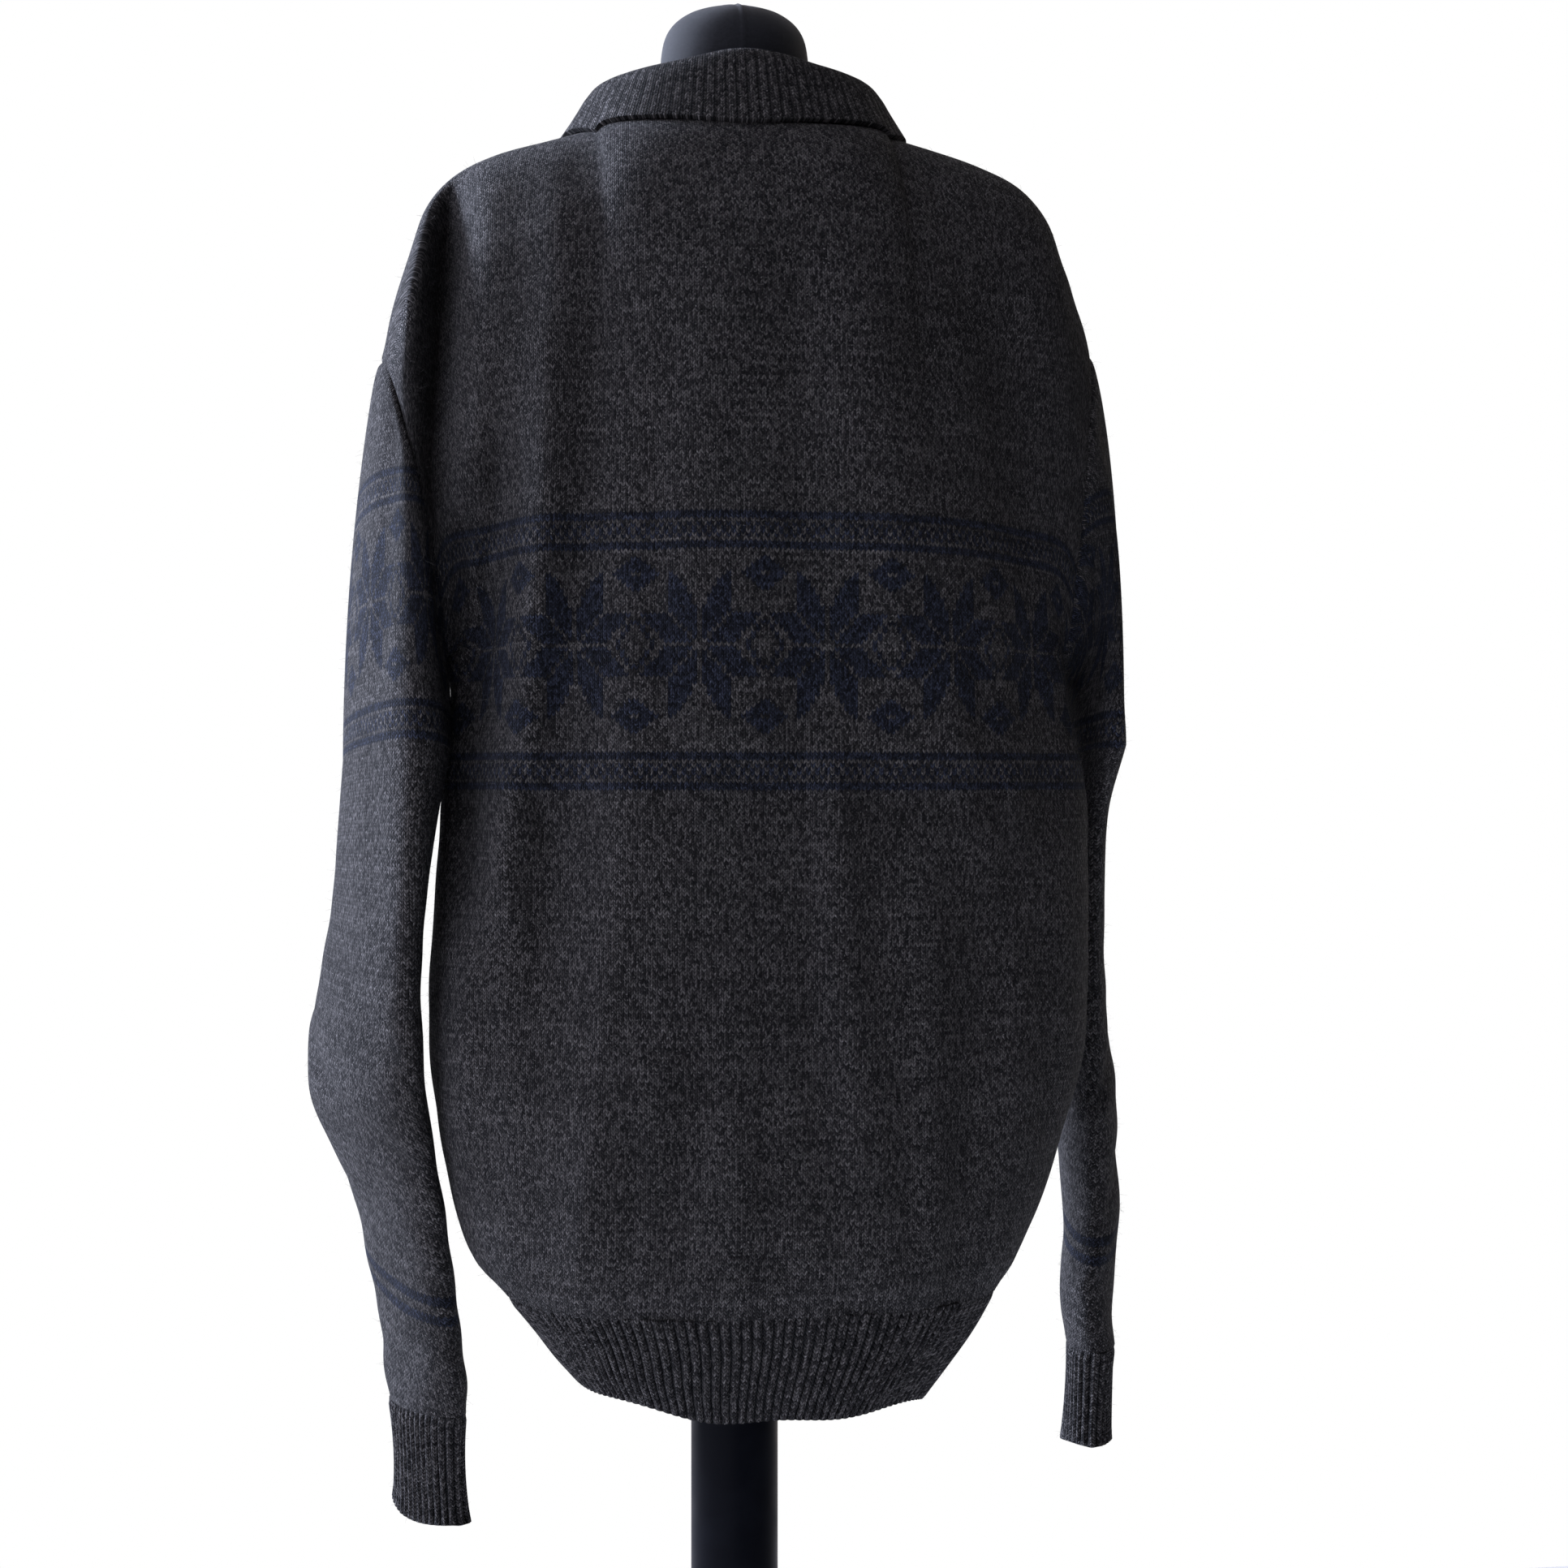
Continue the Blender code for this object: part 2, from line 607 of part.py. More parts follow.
def ribbed_wall(name, outer_rows, inner_rows, per_inner, closed, material, parent):
    """A wall whose outer rows hold per_inner columns for each inner one.

    Rows run down, and columns counter-clockwise seen from above.
    """
    outer = np.array(outer_rows)
    inner = np.array(inner_rows)
    rows, many = outer.shape[:2]
    few = inner.shape[1]
    vertices = list(outer.reshape(-1, 3)) + list(inner.reshape(-1, 3))
    start = rows * many
    faces = []
    for i, j, k in ((i, j, (j + 1) % many) for i in range(rows - 1) for j in range(many)):
        if not closed and j == many - 1:
            continue
        faces.append([i * many + k, i * many + j, (i + 1) * many + j, (i + 1) * many + k])
    for i, j, k in ((i, j, (j + 1) % few) for i in range(rows - 1) for j in range(few)):
        if not closed and j == few - 1:
            continue
        face = [i * few + j, i * few + k, (i + 1) * few + k, (i + 1) * few + j]
        faces.append([start + n for n in face])
    segments = few if closed else few - 1
    middle = per_inner // 2
    for row, flip in ((0, False), (rows - 1, True)):
        for j in range(segments):
            near = [row * many + (j * per_inner + n) % many for n in range(per_inner + 1)]
            a, b = start + row * few + j, start + row * few + (j + 1) % few
            fan = [[a, near[n], near[n + 1]] for n in range(middle)]
            fan += [[b, near[n], near[n + 1]] for n in range(middle, per_inner)]
            fan.append([a, near[middle], b])
            faces += [list(reversed(face)) for face in fan] if flip else fan
    if not closed:
        for j_outer, j_inner, flip in ((0, 0, False), (many - 1, few - 1, True)):
            for i in range(rows - 1):
                a, b = i * many + j_outer, (i + 1) * many + j_outer
                c, d = start + i * few + j_inner, start + (i + 1) * few + j_inner
                face = [a, c, d, b]
                faces.append(list(reversed(face)) if flip else face)
    return add_object(name, vertices, faces, material, parent)


def ring_normals(ring, closed=True):
    """Level outward normals of a level ring that runs counter-clockwise from above."""
    if closed:
        along = np.roll(ring, -1, 0) - np.roll(ring, 1, 0)
    else:
        along = np.gradient(ring, axis=0)
    normals = np.stack([along[:, 1], -along[:, 0], np.zeros(len(ring))], axis=1)
    return normals / np.linalg.norm(normals, axis=1, keepdims=True)


def even_ring(point_at, count):
    """Points spaced evenly along a closed curve given by point_at(turn)."""
    turns = [2 * math.pi * n / RING_SAMPLES for n in range(RING_SAMPLES + 1)]
    dense = np.array([point_at(turn) for turn in turns])
    steps = np.linalg.norm(np.diff(dense, axis=0), axis=1)
    way = np.concatenate([[0], np.cumsum(steps)])
    wanted = np.linspace(0, way[-1], count, endpoint=False)
    return np.stack([np.interp(wanted, way, dense[:, axis]) for axis in range(3)], axis=1)


def body_ring_point(height, turn):
    """A point of the whole body's level section, counter-clockwise from the left side seam."""
    face = BACK if math.sin(turn) >= 0 else FRONT
    side = LEFT if math.cos(turn) >= 0 else RIGHT
    column = math.atan2(abs(math.cos(turn)), abs(math.sin(turn))) / (math.pi / 2)
    return level_point(face, side, column, height)


def make_ribbed_tube(name, heights, ring_at, ribs, drop_at, material, parent):
    """A ribbed band: ring_at(height, turn) gives its middle surface."""
    outer_rows, inner_rows = [], []
    top, foot = heights[0], heights[-1]
    for height in heights:
        share = (top - height) / (top - foot)
        outer = even_ring(lambda turn: ring_at(height, turn), ribs * 2)
        inner = outer[::TUBE_COLUMNS_PER_INNER].copy()
        rise = np.where(np.arange(len(outer)) % 2 == 0, RIB_RISE, -RIB_RISE)
        normals = ring_normals(outer)
        drops = np.array([drop_at(p) * share for p in outer])
        outer += normals * (CLOTH / 2 + rise)[:, None]
        outer[:, 2] += drops
        inner -= ring_normals(inner) * CLOTH / 2
        inner[:, 2] += drops[::TUBE_COLUMNS_PER_INNER]
        outer_rows.append(outer)
        inner_rows.append(inner)
    return ribbed_wall(
        name, outer_rows, inner_rows, TUBE_COLUMNS_PER_INNER, True, material, parent
    )


def hem_drop(point):
    """The hem's edge hangs in a few shallow waves."""
    turn = math.atan2(point[1], point[0])
    return sum(depth * math.sin(count * turn + phase) for count, phase, depth in HEM_WAVES)


def make_hem_rib(materials, parent):
    top = RIB_HEIGHT - SEAM_GAP / 2
    heights = (top, (RIB_HEIGHT + HEM_HEIGHT) / 2, HEM_HEIGHT)
    return make_ribbed_tube(
        "hem_rib", heights, body_ring_point, HEM_RIBS, hem_drop, materials["wool_rib"], parent
    )


def cuff_point(side, height, turn):
    """Cuffs run straight down from the sleeve's last ring, a little narrower in the middle."""
    table = SLEEVE_SECTIONS[side]
    top = table[-1][0]
    share = (top - height) / CUFF_LENGTH
    sway, forward = CUFF_FLARE[side]
    point = sleeve_oval(side, table[-1], side * turn)
    centre = np.array((
        side * (table[-1][1] + table[-1][2]) / 2,
        (table[-1][3] + table[-1][4]) / 2,
        top,
    ))
    squeeze = 1 - CUFF_SQUEEZE * power(math.sin(math.pi * share), CUFF_SQUEEZE_POWER)
    point = centre + (point - centre) * squeeze
    return np.array((point[0] - side * sway * share, point[1] - forward * share, height))


def make_cuff(side, materials, parent):
    top = SLEEVE_SECTIONS[side][-1][0]
    heights = (top - SEAM_GAP / 2, top - CUFF_LENGTH / 2, top - CUFF_LENGTH)
    name = "cuff_left" if side == LEFT else "cuff_right"

    def ring_at(height, turn):
        return cuff_point(side, height, turn)

    def drop_at(point):
        return CUFF_WAVE * math.sin(2 * math.pi * point[1] / CUFF_WAVE_LENGTH)

    return make_ribbed_tube(
        name, heights, ring_at, CUFF_RIBS, drop_at, materials["wool_rib"], parent
    )


def neck_path(count):
    """Stations along the neck seam, evenly spaced, from the left front end round the back.

    It gives the smooth curve, and the panels' own edge, which is straight between columns.
    """
    legs = ((FRONT, LEFT, 0.0, NECK_COLUMN), (BACK, LEFT, NECK_COLUMN, 0.0))
    legs += ((BACK, RIGHT, 0.0, NECK_COLUMN), (FRONT, RIGHT, NECK_COLUMN, 0.0))
    smooth, seam = [], []
    for face, side, first, last in legs:
        for n in range(NECK_SAMPLES):
            column = first + (last - first) * n / NECK_SAMPLES
            point = top_point(face, side, column)
            if face == FRONT and abs(point[0]) < COLLAR_END:
                continue
            below = math.floor(column * HALF_COLUMNS)
            share = column * HALF_COLUMNS - below
            near = top_point(face, side, below / HALF_COLUMNS)
            far = top_point(face, side, (below + 1) / HALF_COLUMNS)
            smooth.append(point)
            seam.append(near + (far - near) * share)
    smooth, seam = np.array(smooth), np.array(seam)
    steps = np.linalg.norm(np.diff(smooth, axis=0), axis=1)
    way = np.concatenate([[0], np.cumsum(steps)])
    wanted = np.linspace(0, way[-1], count)
    return [
        np.stack([np.interp(wanted, way, path[:, axis]) for axis in range(3)], axis=1)
        for path in (smooth, seam)
    ]


def cloth_under(panels):
    """Height of the panels' outer side under a point, for what lies on them."""
    vertices, faces = [], []
    for part_vertices, part_faces in panels:
        start = len(vertices)
        vertices += [Vector(v) for v in part_vertices]
        faces += [[n + start for n in face] for face in part_faces]
    tree = BVHTree.FromPolygons(vertices, faces)

    def height_at(x, y):
        hit = tree.ray_cast(Vector((x, y, ABOVE_ALL)), Vector((0, 0, -1)))[0]
        return hit.z

    return height_at


def collar_profile(base, seam, out, way, height_at):
    """Middle line of the collar at one station: stand, roll and fall, from the neck seam."""
    names = COLLAR_COLUMNS[1:]
    stand, lean, reach, lift = (
        smooth_value(COLLAR_SECTIONS, COLLAR_COLUMNS, "way", name, way) for name in names
    )
    inset = -(COLLAR_CLOTH / 2 + SEAM_GAP)
    up = np.array((0, 0, 1.0))
    foot = seam + out * inset
    crest = base + out * (inset + lean + ROLL_WIDTH / 2) + up * stand
    outer = base + out * (inset + lean + ROLL_WIDTH) + up * (stand - ROLL_DROP)
    edge = base + out * reach
    edge[2] = height_at(edge[0], edge[1]) + lift
    line = [
        foot - up * CLOTH / 2,
        base + out * (inset + lean) + up * (stand - STAND_DROP),
        crest,
        outer,
    ]
    for share in FALL_STEPS:
        point = outer + (edge - outer) * share
        point[2] = max(point[2], height_at(point[0], point[1]) + lift * MID_LIFT)
        line.append(point)
    line.append(edge)
    return np.array(line)


def make_collar(height_at, materials, parent):
    count = COLLAR_RIBS * 2 + 1
    base, seam = neck_path(count)
    level = base.copy()
    level[:, 2] = 0
    out = ring_normals(level, closed=False)
    lines = np.array([
        collar_profile(base[n], seam[n], out[n], n / (count - 1), height_at)
        for n in range(count)
    ])
    along = np.gradient(lines, axis=1)
    across = np.gradient(lines, axis=0)
    normals = np.cross(along, across)
    normals /= np.linalg.norm(normals, axis=2, keepdims=True)
    rise = np.where(np.arange(count) % 2 == 0, COLLAR_RIB_RISE, -COLLAR_RIB_RISE)
    outer = lines + normals * (COLLAR_CLOTH / 2 + rise)[:, None, None]
    per_inner = COLLAR_COLUMNS_PER_INNER
    inner = (lines - normals * COLLAR_CLOTH / 2)[::per_inner]
    outer_rows = list(np.swapaxes(outer, 0, 1))
    inner_rows = list(np.swapaxes(inner, 0, 1))
    return ribbed_wall(
        "collar", outer_rows, inner_rows, per_inner, False, materials["wool_rib"], parent
    )


def placket_grid(front, half_width):
    """Three columns down the centre of the front, on the panel's own rows."""
    rows = range(len(front) - 1 - PLACKET_ROWS, len(front))
    centre = HALF_COLUMNS
    grid = []
    for i in rows:
        middle = front[i, centre]
        line = []
        for side in (RIGHT, LEFT):
            beside = front[i, centre + side]
            line.append(middle + (beside - middle) * half_width / abs(beside[0]))
        grid.append((line[0], middle, line[1]))
    return np.array(grid)


def make_placket(front, offsets, materials, parent):
    """Under band, flush in the front's opening, and over band, which lies on it."""
    names = ("placket_under", "placket_over")
    lifts = (0.0, CLOTH / 2 + 2 * TOUCH_GAP + PLACKET_CLOTH / 2)
    widths = (PLACKET_HALF_WIDTH - SEAM_GAP, PLACKET_HALF_WIDTH)
    thicknesses = (CLOTH, PLACKET_CLOTH)
    for name, lift, half_width, thickness in zip(names, lifts, widths, thicknesses):
        grid = placket_grid(front, half_width)
        turned = offsets[len(front) - 1 - PLACKET_ROWS :, HALF_COLUMNS]
        normals = np.repeat(turned[:, None, :], 3, axis=1)
        grid = grid + normals * lift
        if lift == 0:
            grid[0] += (grid[1] - grid[0]) * PLACKET_FOOT_TRIM
        vertices, faces = wall_mesh(grid, normals, False, False, thickness)
        add_object(name, vertices, faces, materials["wool_charcoal"], parent)


def cut_placket_opening(front_object, front, offsets, parent):
    """Cuts the front where the under band goes."""
    grid = placket_grid(front, PLACKET_HALF_WIDTH)
    turned = offsets[len(front) - 1 - PLACKET_ROWS :, HALF_COLUMNS]
    normals = np.repeat(turned[:, None, :], 3, axis=1)
    grid[-1] += (grid[-1] - grid[-2]) * CUTTER_REACH
    vertices, faces = wall_mesh(grid, normals, False, False, CUTTER_THICKNESS)
    cutter = add_object("placket_cutter", vertices, faces, front_object.data.materials[0], parent)
    cutter.hide_render = True
    cutter.display_type = "WIRE"
    cut = front_object.modifiers.new("placket_opening", "BOOLEAN")
    cut.object = cutter
    cut.operation = "DIFFERENCE"


def turned_solid(name, profile, sides, material, parent, centre=(0, 0)):
    """A solid of revolution about a vertical axis; profile rows (radius, height) run up."""
    vertices, faces = [], []
    for radius, height in profile:
        for n in range(sides):
            turn = 2 * math.pi * n / sides
            x = centre[0] + radius * math.cos(turn)
            vertices.append((x, centre[1] + radius * math.sin(turn), height))
    for i in range(len(profile) - 1):
        for n in range(sides):
            k = (n + 1) % sides
            faces.append([i * sides + n, i * sides + k, (i + 1) * sides + k, (i + 1) * sides + n])
    faces.append(list(reversed(range(sides))))
    faces.append(list(range((len(profile) - 1) * sides, len(profile) * sides)))
    return add_object(name, vertices, faces, material, parent)


def make_buttons(front, offsets, materials, parent):
    """Buttons down the over band; each is modelled flat and then turned to the cloth."""
    rows = np.arange(len(front) - 1 - PLACKET_ROWS, len(front))[::-1]
    line = front[rows, HALF_COLUMNS]
    normals = offsets[rows, HALF_COLUMNS]
    way = np.concatenate([[0], np.cumsum(np.linalg.norm(np.diff(line, axis=0), axis=1))])
    lift = CLOTH / 2 + PLACKET_CLOTH + 4 * TOUCH_GAP
    profile = [(BUTTON_RADIUS * wide, BUTTON_HEIGHT * high) for wide, high in BUTTON_PROFILE]
    for number, drop in enumerate(BUTTON_DROPS, start=1):
        place = np.array([np.interp(drop, way, line[:, axis]) for axis in range(3)])
        normal = np.array([np.interp(drop, way, normals[:, axis]) for axis in range(3)])
        normal /= np.linalg.norm(normal)
        name = f"button_{number}"
        button = turned_solid(name, profile, BUTTON_SIDES, materials["button"], parent)
        button.location = Vector(place + normal * lift)
        button.rotation_mode = "QUATERNION"
        button.rotation_quaternion = Vector(normal).to_track_quat("Z", "Y")


def make_form(materials, parent):
    """The form's torso with its neck cap, and the pole and base that carry it."""
    heights = [row[0] for row in FORM_RINGS]
    vertices, faces = [], []
    for row in FORM_RINGS:
        ring = dict(zip(FORM_COLUMNS, row))
        for n in range(FORM_SIDES):
            turn = 2 * math.pi * n / FORM_SIDES
            depth = ring["back"] if math.sin(turn) >= 0 else ring["front"]
            x = ring["half"] * math.cos(turn)
            vertices.append((x, depth * math.sin(turn), ring["height"]))
    sides = FORM_SIDES
    for i in range(len(heights) - 1):
        for n in range(sides):
            k = (n + 1) % sides
            faces.append([i * sides + n, i * sides + k, (i + 1) * sides + k, (i + 1) * sides + n])
    faces.append(list(reversed(range(sides))))
    faces.append(list(range((len(heights) - 1) * sides, len(heights) * sides)))
    add_object("form_torso", vertices, faces, materials["form_jersey"], parent)
    pole = (
        (POLE_RADIUS, BASE_HEIGHT + TOUCH_GAP),
        (POLE_RADIUS, heights[0] - TOUCH_GAP),
    )
    turned_solid("form_pole", pole, ROUND_SIDES, materials["stand_metal"], parent)
    base = (
        (BASE_RADIUS, 0.0),
        (BASE_RADIUS, BASE_HEIGHT - BASE_CHAMFER),
        (BASE_RADIUS - BASE_CHAMFER, BASE_HEIGHT),
    )
    turned_solid("form_base", base, ROUND_SIDES, materials["stand_metal"], parent)


def make_garment(materials, parent):
    back, front = panel_grid(BACK), panel_grid(FRONT)
    sleeves = {
        "sleeve_left": sleeve_grid(LEFT, armhole_loop(back, front, LEFT)),
        "sleeve_right": sleeve_grid(RIGHT, armhole_loop(back, front, RIGHT)),
    }
    grids = {
        "back_panel": (back, False, True),
        "front_panel": (front, False, False),
        "sleeve_left": (sleeves["sleeve_left"], True, True),
        "sleeve_right": (sleeves["sleeve_right"], True, False),
    }
    offsets = shared_offsets(grids)
    for name in grids:
        level_offset(offsets[name], 0 if "panel" in name else -1)
        if "panel" in name:
            upright_neck_offsets(offsets[name])
    panels = []
    for name, (points, closed, turned) in grids.items():
        columns = () if closed else (0, -1)
        drawn = draw_back(points, offsets[name], (0, -1), columns)
        vertices, faces = wall_mesh(drawn, offsets[name], closed, turned, CLOTH)
        obj = add_object(name, vertices, faces, materials["wool_charcoal"], parent)
        if name == "front_panel":
            front_object = obj
        if not closed:
            panels.append(wall_mesh(points, offsets[name], closed, turned, CLOTH))
    cut_placket_opening(front_object, front, offsets["front_panel"], parent)
    make_placket(front, offsets["front_panel"], materials, parent)
    make_buttons(front, offsets["front_panel"], materials, parent)
    make_collar(cloth_under(panels), materials, parent)
    make_hem_rib(materials, parent)
    for side in (LEFT, RIGHT):
        make_cuff(side, materials, parent)


def main():
    clear_scene()
    materials = make_materials()
    root = bpy.data.objects.new("polo_sweater_on_form", None)
    bpy.context.scene.collection.objects.link(root)
    make_garment(materials, root)
    make_form(materials, root)


main()
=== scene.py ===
"""Looks of the polo sweater on its dress form: knitted shells on the frame's solids, light and camera.

Metres, in the frame's axes: +Z up, the garment's back faces +Y, and the wearer's left is +X.
"""

import math
from functools import partial

import bpy
import numpy as np
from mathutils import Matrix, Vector
from mathutils.bvhtree import BVHTree


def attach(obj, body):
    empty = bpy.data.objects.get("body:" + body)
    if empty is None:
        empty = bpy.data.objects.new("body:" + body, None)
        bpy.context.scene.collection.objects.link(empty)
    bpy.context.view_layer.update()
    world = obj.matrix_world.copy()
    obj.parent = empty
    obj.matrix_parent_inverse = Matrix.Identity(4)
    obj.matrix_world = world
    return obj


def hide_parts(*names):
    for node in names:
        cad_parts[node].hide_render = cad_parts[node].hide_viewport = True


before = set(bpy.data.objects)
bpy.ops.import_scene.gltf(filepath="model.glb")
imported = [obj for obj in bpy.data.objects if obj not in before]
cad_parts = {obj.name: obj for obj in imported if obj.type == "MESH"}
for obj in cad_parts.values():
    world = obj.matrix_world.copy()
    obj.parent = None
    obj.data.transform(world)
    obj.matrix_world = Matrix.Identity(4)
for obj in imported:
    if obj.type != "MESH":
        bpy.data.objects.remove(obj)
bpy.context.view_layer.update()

# The garment's sizes, as the solids have them
CLOTH = 0.003
SECTION_POWER = 2.4
SHOULDER_POWER = 2.6
CHEST_HEIGHT = 1.130
RIB_HEIGHT = 0.756
HEM_HEIGHT = 0.697
NECK_COLUMN = 0.3
NECK_HALF_WIDTH = 0.085
BACK, FRONT = 1, -1
LEFT, RIGHT = 1, -1
NECK_DEPTH = {BACK: 0.060, FRONT: 0.085}
NECK_CENTRE_HEIGHT = {BACK: 1.437, FRONT: 1.398}
ARMHOLE_CUT = {BACK: 0.25, FRONT: 0.29}
ARMHOLE_DEPTH = {BACK: 0.050, FRONT: 0.055}
ARMHOLE_LEAN = 0.003
ARMHOLE_RISE_POWER = 2.0
ARMHOLE_SWELL_POWER = 0.6
ARMHOLE_CUT_POWER = 0.8
ARMHOLE_BLEND_POWER = 3
SIDE_QUIET_POWER = 5
TOP_QUIET_POWER = 4

BODY_COLUMNS = ("height", "left", "right", "back", "front")
BODY_SECTIONS = (
    (0.695, 0.094, 0.108, 0.086, 0.086),
    (0.712, 0.106, 0.122, 0.094, 0.095),
    (0.735, 0.120, 0.141, 0.101, 0.104),
    (0.756, 0.135, 0.155, 0.108, 0.113),
    (0.776, 0.154, 0.168, 0.116, 0.125),
    (0.805, 0.165, 0.181, 0.121, 0.133),
    (0.850, 0.174, 0.197, 0.123, 0.138),
    (0.900, 0.180, 0.210, 0.123, 0.141),
    (0.950, 0.180, 0.2125, 0.121, 0.143),
    (1.000, 0.176, 0.2125, 0.119, 0.144),
    (1.060, 0.172, 0.210, 0.119, 0.145),
    (1.105, 0.168, 0.199, 0.120, 0.145),
    (1.130, 0.171, 0.197, 0.121, 0.144),
)
SHOULDER_COLUMNS = ("column", "reach", "left", "right")
SHOULDER_LINE = (
    (0.30, 0.085, 1.4415, 1.4440),
    (0.42, 0.115, 1.4330, 1.4365),
    (0.54, 0.145, 1.4235, 1.4280),
    (0.64, 0.168, 1.4125, 1.4180),
    (0.73, 0.183, 1.3930, 1.4010),
    (0.82, 0.193, 1.3640, 1.3740),
    (0.91, 0.202, 1.3340, 1.3460),
    (1.00, 0.209, 1.3030, 1.3170),
)
RIGHT_END_REACH = 0.005

# Folds: each runs from a top point to a foot point and sinks (-) or lifts (+) the cloth.
# The solids have the large folds too; the creases are only in this script.
FOLD_COLUMNS = ("face", "top_x", "top_z", "foot_x", "foot_z", "width", "depth")
FOLDS = (
    (BACK, 0.170, 1.375, 0.181, 1.235, 0.0110, -0.045),
    (BACK, 0.194, 1.350, 0.202, 1.270, 0.0070, 0.050),
    (BACK, 0.146, 1.205, 0.157, 1.050, 0.012, -0.021),
    (BACK, 0.152, 1.140, 0.162, 1.030, 0.012, -0.016),
    (BACK, 0.126, 1.140, 0.138, 1.040, 0.012, 0.006),
    (BACK, 0.088, 1.290, 0.112, 0.980, 0.026, -0.011),
    (BACK, 0.112, 1.350, 0.122, 1.180, 0.014, 0.006),
    (BACK, 0.150, 1.070, 0.168, 0.900, 0.014, 0.008),
    (BACK, 0.118, 0.990, 0.128, 0.800, 0.022, -0.006),
    (BACK, -0.020, 1.330, -0.026, 0.900, 0.016, -0.004),
    (BACK, -0.060, 1.300, -0.082, 1.150, 0.022, 0.005),
    (BACK, -0.150, 1.300, -0.170, 1.080, 0.020, -0.010),
    (BACK, -0.085, 1.000, -0.095, 0.800, 0.016, 0.006),
    (BACK, -0.130, 0.960, -0.120, 0.790, 0.020, -0.006),
    (BACK, 0.040, 0.880, 0.052, 0.775, 0.016, -0.005),
    (BACK, -0.040, 0.870, -0.050, 0.775, 0.015, -0.005),
    (FRONT, 0.140, 1.280, 0.156, 1.040, 0.018, -0.012),
    (FRONT, -0.142, 1.290, -0.162, 1.060, 0.019, -0.011),
    (FRONT, 0.085, 1.240, 0.098, 0.930, 0.024, -0.007),
    (FRONT, -0.078, 1.220, -0.090, 0.900, 0.022, -0.006),
    (FRONT, 0.045, 1.020, 0.040, 0.790, 0.020, 0.006),
    (FRONT, -0.120, 1.000, -0.128, 0.790, 0.020, 0.006),
    (FRONT, 0.120, 0.930, 0.118, 0.780, 0.018, -0.006),
    (FRONT, -0.030, 0.900, -0.040, 0.775, 0.017, -0.005),
)
FOLD_FADE = 0.055
CREASES = (
    (BACK, 0.173, 1.390, 0.186, 1.215, 0.0085, -0.020),
    (BACK, 0.163, 1.200, 0.168, 1.060, 0.0090, -0.010),
    (BACK, -0.040, 1.060, -0.052, 0.790, 0.0150, 0.0050),
    (BACK, -0.078, 1.040, -0.084, 0.800, 0.0150, -0.0050),
    (BACK, 0.004, 1.050, -0.004, 0.800, 0.0140, -0.0034),
    (BACK, 0.052, 1.300, 0.062, 1.150, 0.0160, -0.0040),
    (BACK, 0.060, 1.240, 0.052, 1.050, 0.011, -0.0022),
    (BACK, 0.074, 1.120, 0.088, 0.930, 0.010, 0.0022),
    (BACK, 0.132, 1.190, 0.128, 1.080, 0.008, 0.0026),
    (BACK, 0.160, 1.130, 0.120, 1.035, 0.009, -0.0030),
    (BACK, 0.163, 1.090, 0.138, 0.985, 0.008, 0.0026),
    (BACK, 0.155, 0.960, 0.150, 0.830, 0.011, -0.0032),
    (BACK, 0.095, 0.860, 0.102, 0.770, 0.009, 0.0026),
    (BACK, 0.070, 0.850, 0.074, 0.765, 0.008, -0.0022),
    (BACK, 0.012, 0.840, 0.016, 0.765, 0.009, 0.0022),
    (BACK, 0.010, 1.180, 0.004, 1.000, 0.012, 0.0016),
    (BACK, -0.052, 1.120, -0.060, 0.960, 0.012, -0.0020),
    (BACK, -0.105, 1.200, -0.118, 1.040, 0.012, 0.0028),
    (BACK, -0.120, 1.130, -0.150, 1.000, 0.010, -0.0024),
    (BACK, -0.175, 1.110, -0.135, 1.020, 0.009, 0.0028),
    (BACK, -0.165, 1.000, -0.172, 0.860, 0.012, -0.0030),
    (BACK, -0.070, 0.840, -0.078, 0.765, 0.009, 0.0022),
    (BACK, -0.115, 0.850, -0.110, 0.768, 0.009, -0.0024),
    (BACK, 0.100, 1.405, 0.118, 1.330, 0.012, -0.0018),
    (BACK, -0.105, 1.405, -0.125, 1.330, 0.013, -0.0018),
    (FRONT, 0.060, 1.300, 0.075, 1.130, 0.011, 0.0022),
    (FRONT, -0.055, 1.310, -0.066, 1.120, 0.012, 0.0022),
    (FRONT, 0.165, 1.120, 0.120, 1.020, 0.009, -0.0030),
    (FRONT, -0.180, 1.120, -0.130, 1.020, 0.010, -0.0030),
    (FRONT, 0.150, 1.010, 0.152, 0.850, 0.012, 0.0028),
    (FRONT, -0.165, 0.980, -0.170, 0.850, 0.012, 0.0028),
    (FRONT, 0.010, 1.080, 0.012, 0.900, 0.014, -0.0020),
    (FRONT, 0.080, 0.850, 0.082, 0.765, 0.009, 0.0024),
    (FRONT, 0.010, 0.840, 0.006, 0.765, 0.009, 0.0022),
    (FRONT, -0.075, 0.850, -0.078, 0.765, 0.009, -0.0024),
)
CREASE_FADE = 0.022

